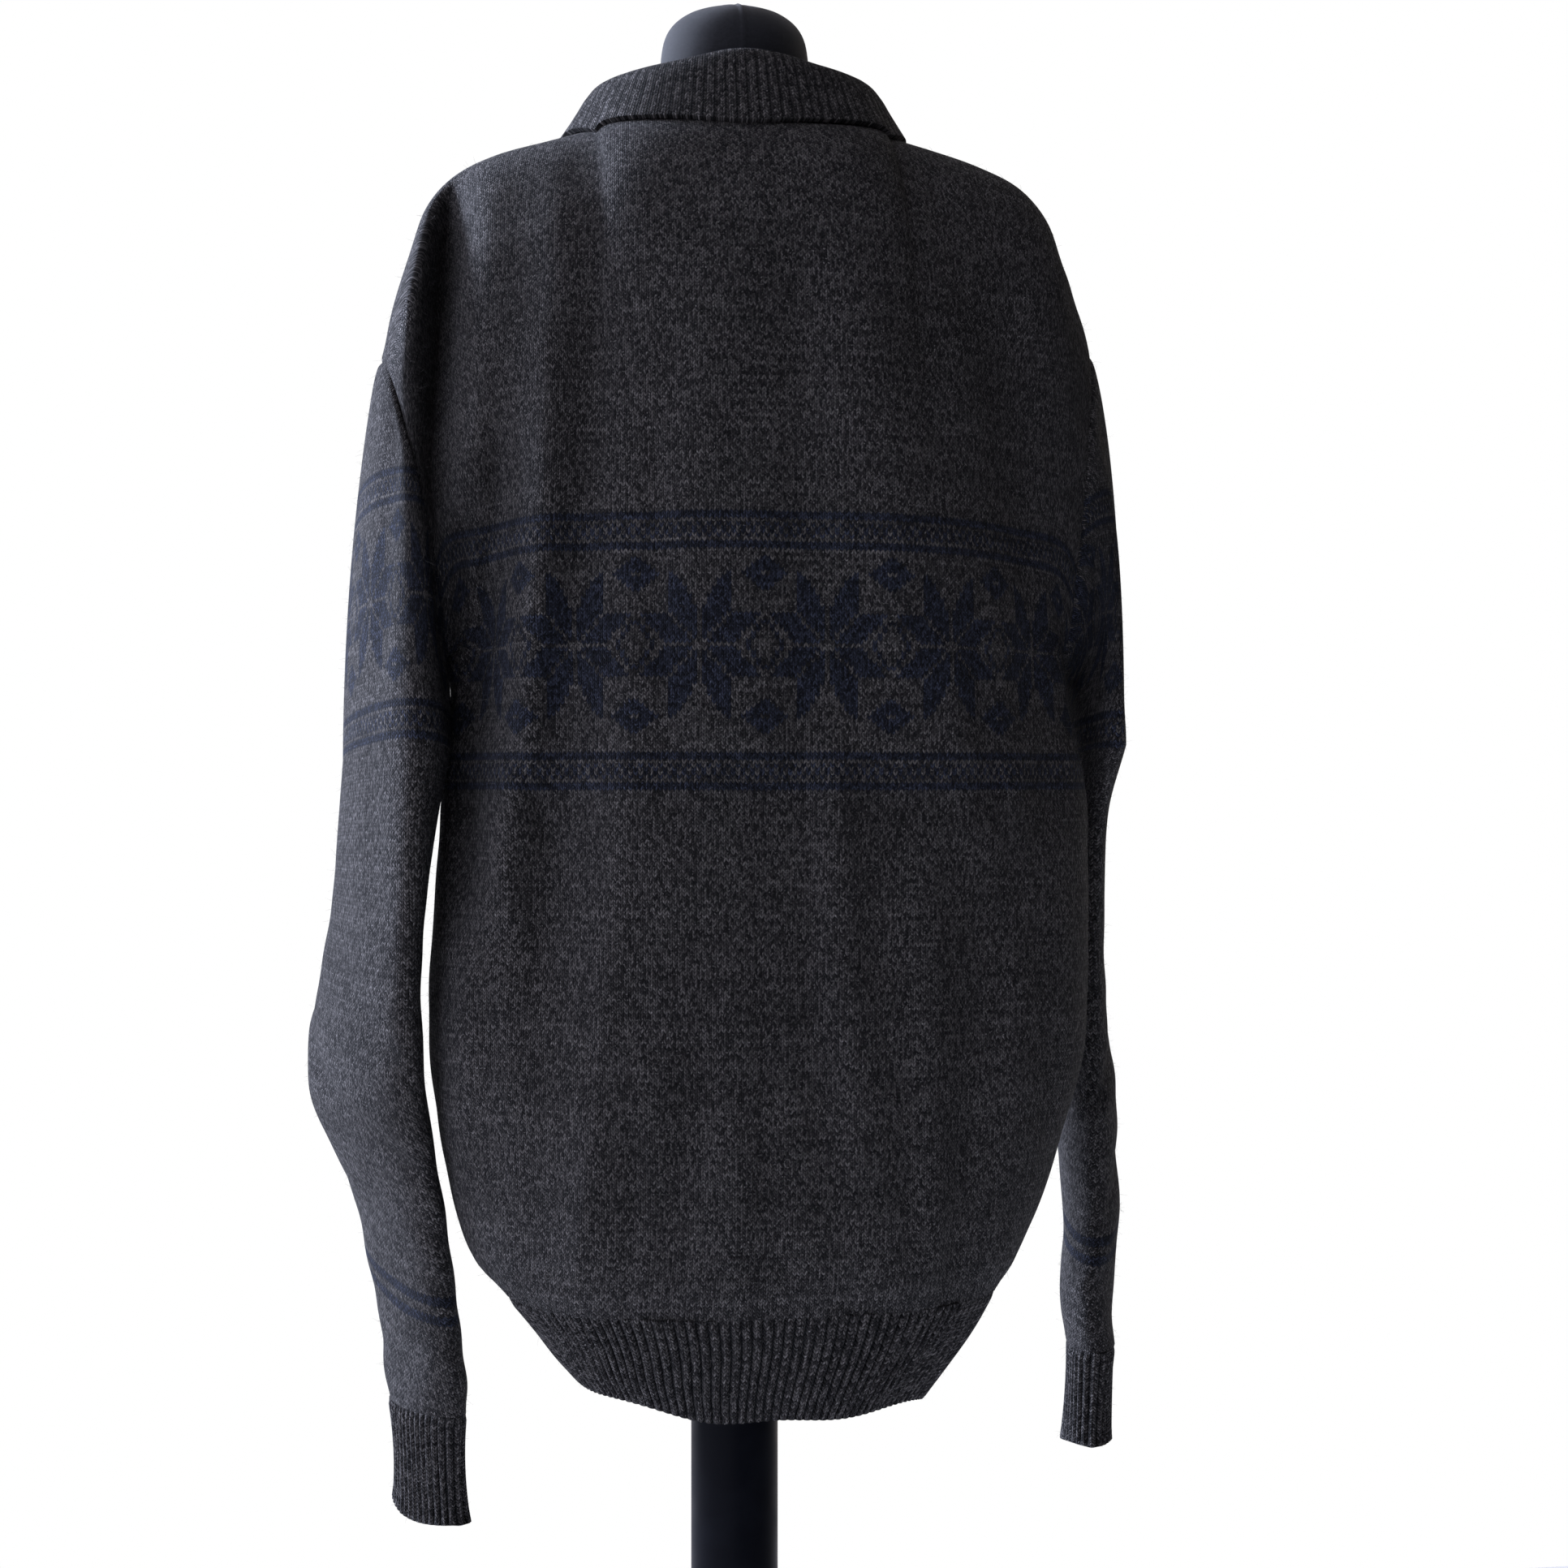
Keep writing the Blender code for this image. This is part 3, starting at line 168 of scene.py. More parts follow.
# Sleeves
SLEEVE_COLUMNS = ("height", "inner", "outer", "back", "front", "thick")
SLEEVE_SECTIONS = {
    LEFT: (
        (1.070, 0.1780, 0.2310, 0.070, -0.085, 0.044),
        (1.030, 0.1815, 0.2340, 0.069, -0.087, 0.042),
        (0.985, 0.1865, 0.2375, 0.066, -0.086, 0.037),
        (0.945, 0.1890, 0.2440, 0.061, -0.086, 0.037),
        (0.905, 0.1880, 0.2515, 0.055, -0.088, 0.040),
        (0.870, 0.1850, 0.2515, 0.048, -0.090, 0.042),
        (0.838, 0.1800, 0.2400, 0.038, -0.088, 0.037),
        (0.805, 0.1745, 0.2250, 0.028, -0.086, 0.034),
        (0.765, 0.1690, 0.2160, 0.018, -0.083, 0.033),
        (0.725, 0.1640, 0.2080, 0.009, -0.080, 0.033),
        (0.700, 0.1610, 0.2060, 0.004, -0.077, 0.034),
        (0.682, 0.1610, 0.2030, 0.000, -0.072, 0.031),
    ),
    RIGHT: (
        (1.080, 0.2205, 0.2430, 0.030, -0.085, 0.022),
        (1.040, 0.2190, 0.2425, -0.006, -0.120, 0.023),
        (0.990, 0.2195, 0.2460, -0.025, -0.140, 0.026),
        (0.940, 0.2205, 0.2505, -0.035, -0.155, 0.029),
        (0.900, 0.2225, 0.2575, -0.042, -0.163, 0.033),
        (0.858, 0.2265, 0.2680, -0.046, -0.172, 0.036),
        (0.815, 0.2290, 0.2690, -0.052, -0.168, 0.035),
        (0.775, 0.2320, 0.2720, -0.058, -0.163, 0.034),
        (0.740, 0.2310, 0.2680, -0.063, -0.157, 0.032),
        (0.712, 0.2310, 0.2655, -0.066, -0.152, 0.031),
        (0.692, 0.2350, 0.2655, -0.068, -0.146, 0.028),
    ),
}
HEAD_EASE_TOP = 1.5
HEAD_EASE_UNDERARM = 4.0
HEAD_EASE_Y = 2.2
HEAD_EASE_Z = 1.6
# Under the arms the sleeves' inner sides swell towards the body: (reach, height, length)
UNDERARM_SWELL = {LEFT: (0.0088, 1.094, 0.050), RIGHT: (0.0070, 1.112, 0.035)}
CUFF_LENGTH = 0.065
CUFF_FLARE = {LEFT: (0.002, 0.006), RIGHT: (0.001, 0.005)}
CUFF_SQUEEZE = 0.10
CUFF_SQUEEZE_POWER = 0.6
CUFF_WAVE = 0.003
CUFF_WAVE_LENGTH = 0.105
SWELL_EASE = 0.014
# Creases of the sleeves; turns are degrees, 0 facing out and 90 the back
SLEEVE_CREASE_COLUMNS = ("side", "top_turn", "top_z", "foot_turn", "foot_z", "width", "depth")
SLEEVE_CREASES = (
    (LEFT, 60, 1.300, 40, 1.120, 0.014, -0.0026),
    (LEFT, 110, 1.250, 140, 1.100, 0.013, -0.0026),
    (LEFT, 30, 1.080, 50, 0.980, 0.016, -0.0014),
    (LEFT, 20, 0.940, 70, 0.900, 0.014, -0.0014),
    (LEFT, 0, 0.880, 55, 0.845, 0.013, -0.0018),
    (LEFT, 50, 0.800, 100, 0.770, 0.014, 0.0010),
    (LEFT, -60, 0.930, -10, 0.880, 0.012, -0.0020),
    (LEFT, -90, 0.860, -40, 0.815, 0.012, -0.0020),
    (LEFT, 200, 0.880, 250, 0.830, 0.012, -0.0020),
    (RIGHT, 60, 1.280, 50, 1.110, 0.014, -0.0026),
    (RIGHT, 110, 1.240, 140, 1.090, 0.013, -0.0026),
    (RIGHT, 30, 0.900, 80, 0.860, 0.014, -0.0016),
    (RIGHT, 20, 0.820, 70, 0.785, 0.013, -0.0016),
    (RIGHT, 70, 0.760, 110, 0.735, 0.012, 0.0010),
    (RIGHT, -70, 0.900, -20, 0.850, 0.012, -0.0020),
    (RIGHT, -90, 0.820, -40, 0.780, 0.012, -0.0020),
    (RIGHT, 200, 0.860, 250, 0.820, 0.012, -0.0020),
)
SLEEVE_CREASE_FADE = 0.014
SLEEVE_RADIUS = 0.055
SLEEVE_EDGE_EASE = 0.02

# Small waves and puckers: heights and lengths in metres, rates in radians for each metre
PUCKER = 0.0007
PUCKER_FADE = 0.012
PUCKER_LENGTH = 0.0116
PUCKER_SWAY = 0.6
PUCKER_SWAY_RATE = 40
UNEVEN = 0.0005
UNEVEN_SWAY = 1.7
UNEVEN_RATES = (61, 37, 83)
SLEEVE_WAVE = 0.0004
SLEEVE_WAVE_SWAY = 2.1
SLEEVE_WAVE_RATES = (155, 20)
SLEEVE_WAVE_TOP = 1.02
SLEEVE_WAVE_EASE = 0.10

# Ribs
HEM_RIBS = 132
CUFF_RIBS = 34
COLLAR_RIBS = 84
RIB_RISE = 0.0010
# The knitted ribs stand this much prouder than the solids' ribs
RIB_KNIT = 1.4
RIB_SAMPLES = 8
# Beads, tucks and furrows are (width, height); band waves are (height, rate along, rate round)
RIB_SWAY = (0.045, 5, 0.9)
RIB_RIPPLE = (0.0008, 2.5, 0.31)
RIB_BEAD = (0.045, 0.0009)
RIB_TUCK = (0.06, 0.0005)
RIB_EDGE_SHARE = 0.05
RIB_EDGE_RISE = 0.25
# Waves of an edge are (count, phase, height)
HEM_WAVES = ((1, 1.57, 0.0070), (3, 0.4, 0.0035), (7, 2.0, 0.0018))
HEM_ROWS = 26
CUFF_ROWS = 30

# Collar
COLLAR_CLOTH = 0.0026
COLLAR_END = 0.0180
COLLAR_COLUMNS = ("way", "stand", "lean", "reach", "lift")
COLLAR_SECTIONS = (
    (0.00, 0.022, -0.003, 0.044, 0.0080),
    (0.12, 0.025, -0.004, 0.036, 0.0075),
    (0.26, 0.027, -0.006, 0.019, 0.0042),
    (0.40, 0.036, -0.008, 0.017, 0.0040),
    (0.50, 0.044, -0.009, 0.018, 0.0040),
    (0.60, 0.036, -0.008, 0.017, 0.0040),
    (0.74, 0.027, -0.006, 0.019, 0.0042),
    (0.88, 0.025, -0.004, 0.036, 0.0075),
    (1.00, 0.022, -0.003, 0.044, 0.0080),
)
ROLL_WIDTH = 0.012
ROLL_DROP = 0.006
STAND_DROP = 0.007
FALL_STEPS = (0.36, 0.70)
MID_LIFT = 1.35
EDGE_LIFT = 0.62
COLLAR_GAP = 0.0005
COLLAR_ROWS = 44
COLLAR_RIB_RISE = 0.0012
COLLAR_EDGE_RISE = 0.2
COLLAR_SWAY = (0.04, 9, 0.7)
COLLAR_BEAD = (0.03, 0.0008)
COLLAR_REACH_WAVES = ((17, 0.5, 0.0010), (41, 0.0, 0.0006))
COLLAR_STAND_WAVES = ((13, 1.0, 0.0010),)

# Placket and buttons
PLACKET_HALF_WIDTH = 0.015
PLACKET_ROWS = 8
PLACKET_CLOTH = 0.0025
PLACKET_COLUMNS = (-0.1, 0.0, 0.1)
PLACKET_GRID = (90, 33)
PLACKET_ROUND = (0.05, 0.0007)
PLACKET_FURROW = (0.035, 0.0007)
PLACKET_FURROW_PLACE = 0.16
PLACKET_CORD = 0.0004
PLACKET_CORDS = 3.5
PLACKET_STITCH_START = 2
SOLID_YOKE_ROWS = 10
BUTTON_RADIUS = 0.0075
BUTTON_HEIGHT = 0.0030
BUTTON_DROPS = (0.035, 0.080, 0.125)
TOUCH_GAP = 0.0003
# The button's section as (share of the radius, share of the height)
BUTTON_PROFILE = (
    (0.0, 0.0),
    (0.80, 0.0),
    (0.93, 0.12),
    (1.0, 0.40),
    (0.99, 0.72),
    (0.93, 0.96),
    (0.84, 1.0),
    (0.76, 0.90),
    (0.68, 0.66),
    (0.45, 0.58),
    (0.30, 0.57),
    (0.12, 0.57),
    (0.0, 0.57),
)
BUTTON_SIDES = 64
BUTTON_FACE = (0.6, 0.5)
HOLE_OFFSET = 0.21
HOLE_WIDTH = 0.10
HOLE_DEPTH = 0.40
THREAD_STEPS = 14
THREAD_SIDES = 8
THREAD_HEIGHT = 0.60
THREAD_ARCH = 0.16
THREAD_HALF_WIDTH = 0.065
THREAD_HALF_HEIGHT = 0.10
DIAGONAL = 0.707

# Dress form and stand
FORM_COLUMNS = ("height", "half", "back", "front")
FORM_RINGS = (
    (0.795, 0.128, 0.078, 0.082),
    (0.800, 0.140, 0.090, 0.094),
    (0.820, 0.149, 0.098, 0.102),
    (0.870, 0.152, 0.100, 0.104),
    (0.930, 0.143, 0.094, 0.098),
    (1.000, 0.130, 0.086, 0.092),
    (1.060, 0.131, 0.089, 0.098),
    (1.130, 0.145, 0.098, 0.112),
    (1.200, 0.160, 0.103, 0.118),
    (1.270, 0.165, 0.094, 0.108),
    (1.330, 0.166, 0.085, 0.095),
    (1.368, 0.166, 0.077, 0.082),
    (1.392, 0.1640, 0.069, 0.071),
    (1.409, 0.1560, 0.061, 0.060),
    (1.4210, 0.1415, 0.053, 0.045),
    (1.4305, 0.1100, 0.048, 0.035),
    (1.4375, 0.0725, 0.046, 0.037),
    (1.4445, 0.0590, 0.045, 0.040),
    (1.455, 0.0480, 0.043, 0.042),
    (1.472, 0.0445, 0.042, 0.043),
    (1.492, 0.0440, 0.042, 0.043),
    (1.506, 0.0400, 0.038, 0.040),
    (1.515, 0.0300, 0.029, 0.030),
    (1.5205, 0.0140, 0.014, 0.014),
)
COVER_SIDES = 160
COVER_TURN = 1.42
COVER_LOWER_ROWS = 90
COVER_UPPER_ROWS = 130
COVER_SEAM = (0.0009, -0.0006)
COVER_RIDGE = (0.0012, 0.00012)
COVER_RIDGE_PLACE = 0.0024
COVER_TIP = 0.0006
JERSEY_WALE = 0.0011
JERSEY_COURSE = 0.0009
JERSEY_RADIUS = 0.045
JERSEY_START = 1.4
POLE_RADIUS = 0.026
POLE_TOP = 0.7955
POLE_SIDES = 96
BASE_RADIUS = 0.180
BASE_HEIGHT = 0.012
BASE_SIDES = 160
BASE_ROUND = 0.003
BASE_FOOT = 0.002
BASE_FOOT_HEIGHT = 0.0015

# Knitting
WALE = 0.0027
COURSE = 0.0021
BAND_FOOT = 1.052
STAR_ROW = 38
STAR_REPEAT = 27
# Half of the star's repeat, from its middle row up and from its middle wale out
STAR_CHART = (
    "..........#...",
    "..######..#...",
    ".#.######..#..",
    ".#.######..#..",
    ".##.######..#.",
    ".###.######.#.",
    ".####.######.#",
    ".####.######..",
    ".#####.######.",
    ".######.......",
    ".######.......",
    "..#####.......",
    "..#####.......",
    "..#####.......",
    "...####.......",
    "...####......#",
    "....###.....##",
    "....###....###",
    ".....##...####",
    "......#..####.",
    "..........####",
    "...........###",
    "............##",
    ".............#",
)
STAR_MIDDLE = 13.0
BORDER_ROWS = (0, 64)
BORDER_LINES = (0.5, 8.5)
BORDER_DOTS = (3.0, 6.0)
BORDER_GAP_DOTS = 4.5
TWO_ROWS = 0.6
CUFF_LINE_REACH = 1.2
DARK_WOOL = (0.0098, 0.0093, 0.0100, 1)
LIGHT_WOOL = (0.1110, 0.1050, 0.1060, 1)
FIBRE_WOOL = (0.2200, 0.2120, 0.2150, 1)
NAVY_TINT = (0.34, 0.42, 0.66)
WOOL_SHEEN = (0.60, 0.65, 0.75, 1.0)
HAIR_COLOURS = ((0.05, 0.05, 0.055, 1), (0.30, 0.29, 0.29, 1))
JERSEY_COLOURS = ((0.0080, 0.0092, 0.0135, 1), (0.0140, 0.0158, 0.0220, 1))
PAINT_COLOURS = ((0.0020, 0.0026, 0.0050, 1), (0.0042, 0.0052, 0.0085, 1))
BUTTON_COLOURS = ((0.012, 0.010, 0.009, 1), (0.060, 0.045, 0.034, 1))
THREAD_COLOURS = ((0.012, 0.012, 0.013, 1), (0.035, 0.034, 0.036, 1))
FLOOR_COLOURS = ((0.78, 0.78, 0.78, 1), (0.82, 0.82, 0.82, 1))
# Ramps are (from, to, value at the first, value at the second); rates are for each wale and course
YARN_LIGHTNESS = (0.0, 1.0, 0.25, 0.90)
FIBRE_SHARE = (0.58, 0.72, 0.0, 0.9)
# Painted shade in the gaps between the yarn's loops and a painted highlight on the middle of the yarn
LOOP_PAINTED_SHADE_AND_HIGHLIGHT = (0.05, 0.80, 0.04, 1.30)
MOTTLE_SHADE = (0.3, 0.7, 0.88, 1.12)
HEATHER_SHADE = (0.30, 0.70, 0.80, 1.20)
COURSE_SHADE = (0.0, 1.0, 0.84, 1.16)
# Painted shade in the furrows between the ribs
FURROW_PAINTED_SHADE = (0.05, 0.50, 0.16, 1.05)
WOOL_DULLNESS = (0.0, 1.0, 1.0, 0.86)
FIBRE_RATES = (2.2, 1.5)
HEATHER_RATES = (1.10, 0.85)
MOTTLE_RATES = (0.05, 0.04)
FIBRE_RELIEF = 0.5
KNIT_RELIEF = 0.0016
SLEEVE_BAND_FOOT = {LEFT: 1.075, RIGHT: 1.075}
# Courses of the two navy lines above each cuff, counted from the sleeve band's foot
CUFF_LINES = (-152.0, -158.0)
# How far the sleeves' courses rise towards the back, at heights in metres
COURSE_TILT_HEIGHTS = (0.80, 1.10)
COURSE_TILTS = (0.22, -0.12)

# Shell grids
PANEL_SAMPLES = 401
PANEL_SPREAD = 0.9
CREASE_QUIET_POWER = 14
TOP_STEPS = (0.006, 0.0035, 0.0015, 0.0)
RIB_QUIET = 0.4
RIB_QUIET_HEIGHT = 0.034
OVER_SHOULDER = 0.002
HEAD_FIRST_STEPS = (0.0, 0.003, 0.007)
RING_SAMPLES = 1441
NECK_SAMPLES = 200
SIDE_COLUMNS = 76
BODY_ROWS = 124
YOKE_ROWS = 108
SLEEVE_COLUMNS_ROUND = 96
HEAD_ROWS = 76
SLEEVE_ROWS = 130
SEAM_STEPS = (0.0, 0.0011, 0.0024, 0.0042, 0.0066)
SEAM_SINK = 0.0016
SEAM_WIDTH = 0.0030
SEAM_MARGIN = 0.002

# Loose fibres
HAIR_SEED = 11
HAIR_STEPS = 3
HAIR_WIDTH = 0.00011
HAIR_TAPER = 0.35
HAIR_LENGTHS = (0.0015, 0.0045)
HAIR_SPREAD = 0.55
HAIR_SAG = 0.15
HAIR_OUTWARD = 0.8
HAIR_LEAST_OUTWARD = 0.1
HAIR_BEND = 0.5
HAIRS = {
    "back_knit": 3600,
    "front_knit": 3200,
    "sleeve_left_knit": 1900,
    "sleeve_right_knit": 1900,
    "hem_knit": 900,
    "collar_knit": 600,
    "cuff_left_knit": 220,
    "cuff_right_knit": 220,
}

# Light, surroundings and camera
FLOOR_HALF_SIZE = 1.8
FLOOR_DROP = -0.0005
WHITE = (1.0, 1.0, 1.0, 1.0)
WARM_FILL = (1.00, 0.92, 0.86, 1)
COOL_FILL = (0.95, 0.95, 1.10, 1)
SIDE_FILL = (-0.12, 0.50, 0.02, 1.15)
FRONT_TO_BACK = (-0.80, -0.02, 1.0)
SIDE_TINT = (-0.40, 0.50, 0.0, 1.0)
KEY_PLACE = (1.90, -1.20, 2.30)
KEY_TARGET = (0.0, 0.0, 1.10)
KEY_SIZE = 0.9
KEY_POWER = 212.0
KEY_COLOUR = (0.72, 0.80, 1.0)
CAMERA_SIDE = (0.139, 0.990, 0.0)
CAMERA_DISTANCE = 1.6
CAMERA_HEIGHT = 1.056
SENSOR_WIDTH = 36.0
PICTURE_PIXELS = 1932
FOCAL_PIXELS = 3280
AIM_PIXELS = 61


def bell(value, width, height=1.0):
    """A smooth hill over a value's zero; width is where it has sunk to about a third."""
    return height * np.exp(-((value / width) ** 2))


def waves_at(waves, place):
    """The sum of an edge's waves at a place along it."""
    return sum(height * np.sin(count * place + phase) for count, phase, height in waves)


def band_wave(wave, along, around):
    """A slanting wave over a band."""
    height, rate_along, rate_round = wave
    return height * np.sin(along * rate_along + around * rate_round)


def way_along(line):
    """Way along a line of points from its first one."""
    return np.concatenate([[0], np.cumsum(np.linalg.norm(np.diff(line, axis=0), axis=1))])


def points_at(line, wanted):
    """The points of a line at the wanted ways along it."""
    way = way_along(line)
    return np.stack([np.interp(wanted, way, line[:, axis]) for axis in range(3)], axis=1)


def curve(rows, columns, key, name, at):
    """Reads a table column as a smooth curve of its key column, for an array of keys."""
    keys = np.array([row[columns.index(key)] for row in rows], float)
    values = np.array([row[columns.index(name)] for row in rows], float)
    if keys[0] > keys[-1]:
        keys, values = keys[::-1], values[::-1]
    at = np.clip(at, keys[0], keys[-1])
    last = len(keys) - 1
    i = np.clip(np.searchsorted(keys, at) - 1, 0, last - 1)
    before = np.maximum(np.arange(last + 1) - 1, 0)
    after = np.minimum(np.arange(last + 1) + 1, last)
    slopes = (values[after] - values[before]) / (keys[after] - keys[before])
    step = keys[i + 1] - keys[i]
    t = (at - keys[i]) / step
    rise = t * t * (3 - 2 * t) * (values[i + 1] - values[i])
    return values[i] + rise + t * (1 - t) ** 2 * step * slopes[i] - t * t * (1 - t) * step * slopes[i + 1]


def by_side(table, columns, key, at, column):
    left = curve(table, columns, key, "left", at)
    right = curve(table, columns, key, "right", at)
    return np.where(column >= 0, left, right)


def level_points(face, column, height):
    """The body's level sections; column runs from -1 at the right side seam to 1 at the left one."""
    half = by_side(BODY_SECTIONS, BODY_COLUMNS, "height", height, column)
    depth = curve(BODY_SECTIONS, BODY_COLUMNS, "height", "back" if face == BACK else "front", height)
    turn = np.minimum(np.abs(column), 1) * math.pi / 2
    x = np.sign(column) * half * np.sin(turn) ** (2 / SECTION_POWER)
    y = face * depth * np.maximum(np.cos(turn), 0) ** (2 / SECTION_POWER)
    return np.stack(np.broadcast_arrays(x, y, height), -1)


def top_points(face, column):
    """The panel's top edge: the neck seam, then the shoulder seam."""
    size = np.abs(column)
    first = by_side(SHOULDER_LINE, SHOULDER_COLUMNS, "column", np.full_like(size, NECK_COLUMN), column)
    turn = np.clip(size / NECK_COLUMN, 0, 1) * math.pi / 2
    neck_height = NECK_CENTRE_HEIGHT[face] + (first - NECK_CENTRE_HEIGHT[face]) * np.sin(turn) ** 2
    out = np.clip((size - NECK_COLUMN) / (1 - NECK_COLUMN), 0, 1)
    reach = curve(SHOULDER_LINE, SHOULDER_COLUMNS, "column", "reach", size)
    reach = reach + np.where(column < 0, RIGHT_END_REACH * out**2, 0)
    height = by_side(SHOULDER_LINE, SHOULDER_COLUMNS, "column", size, column)
    on_neck = size < NECK_COLUMN
    x = np.sign(column) * np.where(on_neck, NECK_HALF_WIDTH * np.sin(turn), reach)
    y = np.where(on_neck, face * NECK_DEPTH[face] * np.cos(turn), 0.0)
    return np.stack([x, y, np.where(on_neck, neck_height, height)], -1)


def armhole_points(face, side, rise):
    """The armhole seam, from the underarm (rise 0) to the shoulder end (rise 1)."""
    ends = np.full_like(rise, float(side))
    foot = level_points(face, ends, np.full_like(rise, CHEST_HEIGHT))
    top = top_points(face, ends)
    share = rise**ARMHOLE_RISE_POWER
    swell = 2 * np.sqrt(share * (1 - share))
    points = foot + (top - foot) * share[..., None]
    points[..., 0] -= side * ARMHOLE_LEAN * swell
    points[..., 1] = face * ARMHOLE_DEPTH[face] * swell**ARMHOLE_SWELL_POWER
    return points


def yoke_base(face, column, rise, bulge):
    chest = level_points(face, column, np.full_like(column, CHEST_HEIGHT))
    top = top_points(face, column)
    points = chest + (top - chest) * rise[..., None]
    points[..., 1] = top[..., 1] + (chest[..., 1] - top[..., 1]) * bulge
    return points


def yoke_points(face, column, row):
    """Points between the chest line (row 0) and the shoulder line (row 1)."""
    column, row = np.broadcast_arrays(column, row)
    turn = row * math.pi / 2
    rise = np.clip(np.sin(turn) ** (2 / SHOULDER_POWER), 0, 1)
    bulge = np.maximum(np.cos(turn), 0) ** (2 / SHOULDER_POWER)
    bulge = np.where(row >= 1, 0.0, bulge)
    edge = 1 - ARMHOLE_CUT[face] * np.maximum(np.sin(math.pi * rise), 0) ** ARMHOLE_CUT_POWER
    points = yoke_base(face, column * edge, rise, bulge)
    for side in (LEFT, RIGHT):
        miss = armhole_points(face, side, rise) - yoke_base(face, side * edge, rise, bulge)
        share = np.where(column * side > 0, np.abs(column) ** ARMHOLE_BLEND_POWER, 0)
        points = points + miss * share[..., None]
    return points


def fold_depth(table, fade_length, face, x, z):
    """How far the folds of a table lift or sink the cloth."""
    total = np.zeros_like(x)
    for row in table:
        fold = dict(zip(FOLD_COLUMNS, row))
        if fold["face"] != face:
            continue
        along = (fold["top_z"] - z) / (fold["top_z"] - fold["foot_z"])
        line = fold["top_x"] + (fold["foot_x"] - fold["top_x"]) * along
        past = np.maximum(np.maximum(fold["foot_z"] - z, z - fold["top_z"]), 0)
        total += bell(past, fade_length, fold["depth"]) * bell(x - line, fold["width"])
    return total


def normals_of(points, closed):
    """Unit normals of a grid, to the right of its columns seen along its rows."""
    if closed:
        wrapped = np.concatenate([points[:, -2:-1], points, points[:, 1:2]], axis=1)
        across = (wrapped[:, 2:] - wrapped[:, :-2]) / 2
    else:
        across = np.gradient(points, axis=1)
    along = np.gradient(points, axis=0)
    normals = np.cross(across, along)
    return normals / np.maximum(np.linalg.norm(normals, axis=2, keepdims=True), 1e-12)


def arc_lengths(points, axis):
    """Way along a grid from its first row or column."""
    steps = np.linalg.norm(np.diff(points, axis=axis), axis=2)
    pad = [(1, 0), (0, 0)] if axis == 0 else [(0, 0), (1, 0)]
    return np.cumsum(np.pad(steps, pad), axis=axis)


def even_panel_columns(points):
    """Resamples a panel's rows: even columns from the centre line out, and closer ones at the seam."""
    middle = points.shape[1] // 2
    rows, ways = [], []
    for line in points:
        halves = []
        for side in (RIGHT, LEFT):
            half = line[middle::-1] if side == RIGHT else line[middle:]
            length = way_along(half)[-1]
            plain = np.linspace(0, length - SEAM_STEPS[-1] - SEAM_MARGIN, SIDE_COLUMNS)
            wanted = np.concatenate([plain, length - np.array(SEAM_STEPS[::-1])])
            halves.append((points_at(half, wanted), wanted * side))
        rows.append(np.concatenate([halves[0][0][:0:-1], halves[1][0]]))
        ways.append(np.concatenate([halves[0][1][:0:-1], halves[1][1]]))
    return np.array(rows), np.array(ways)


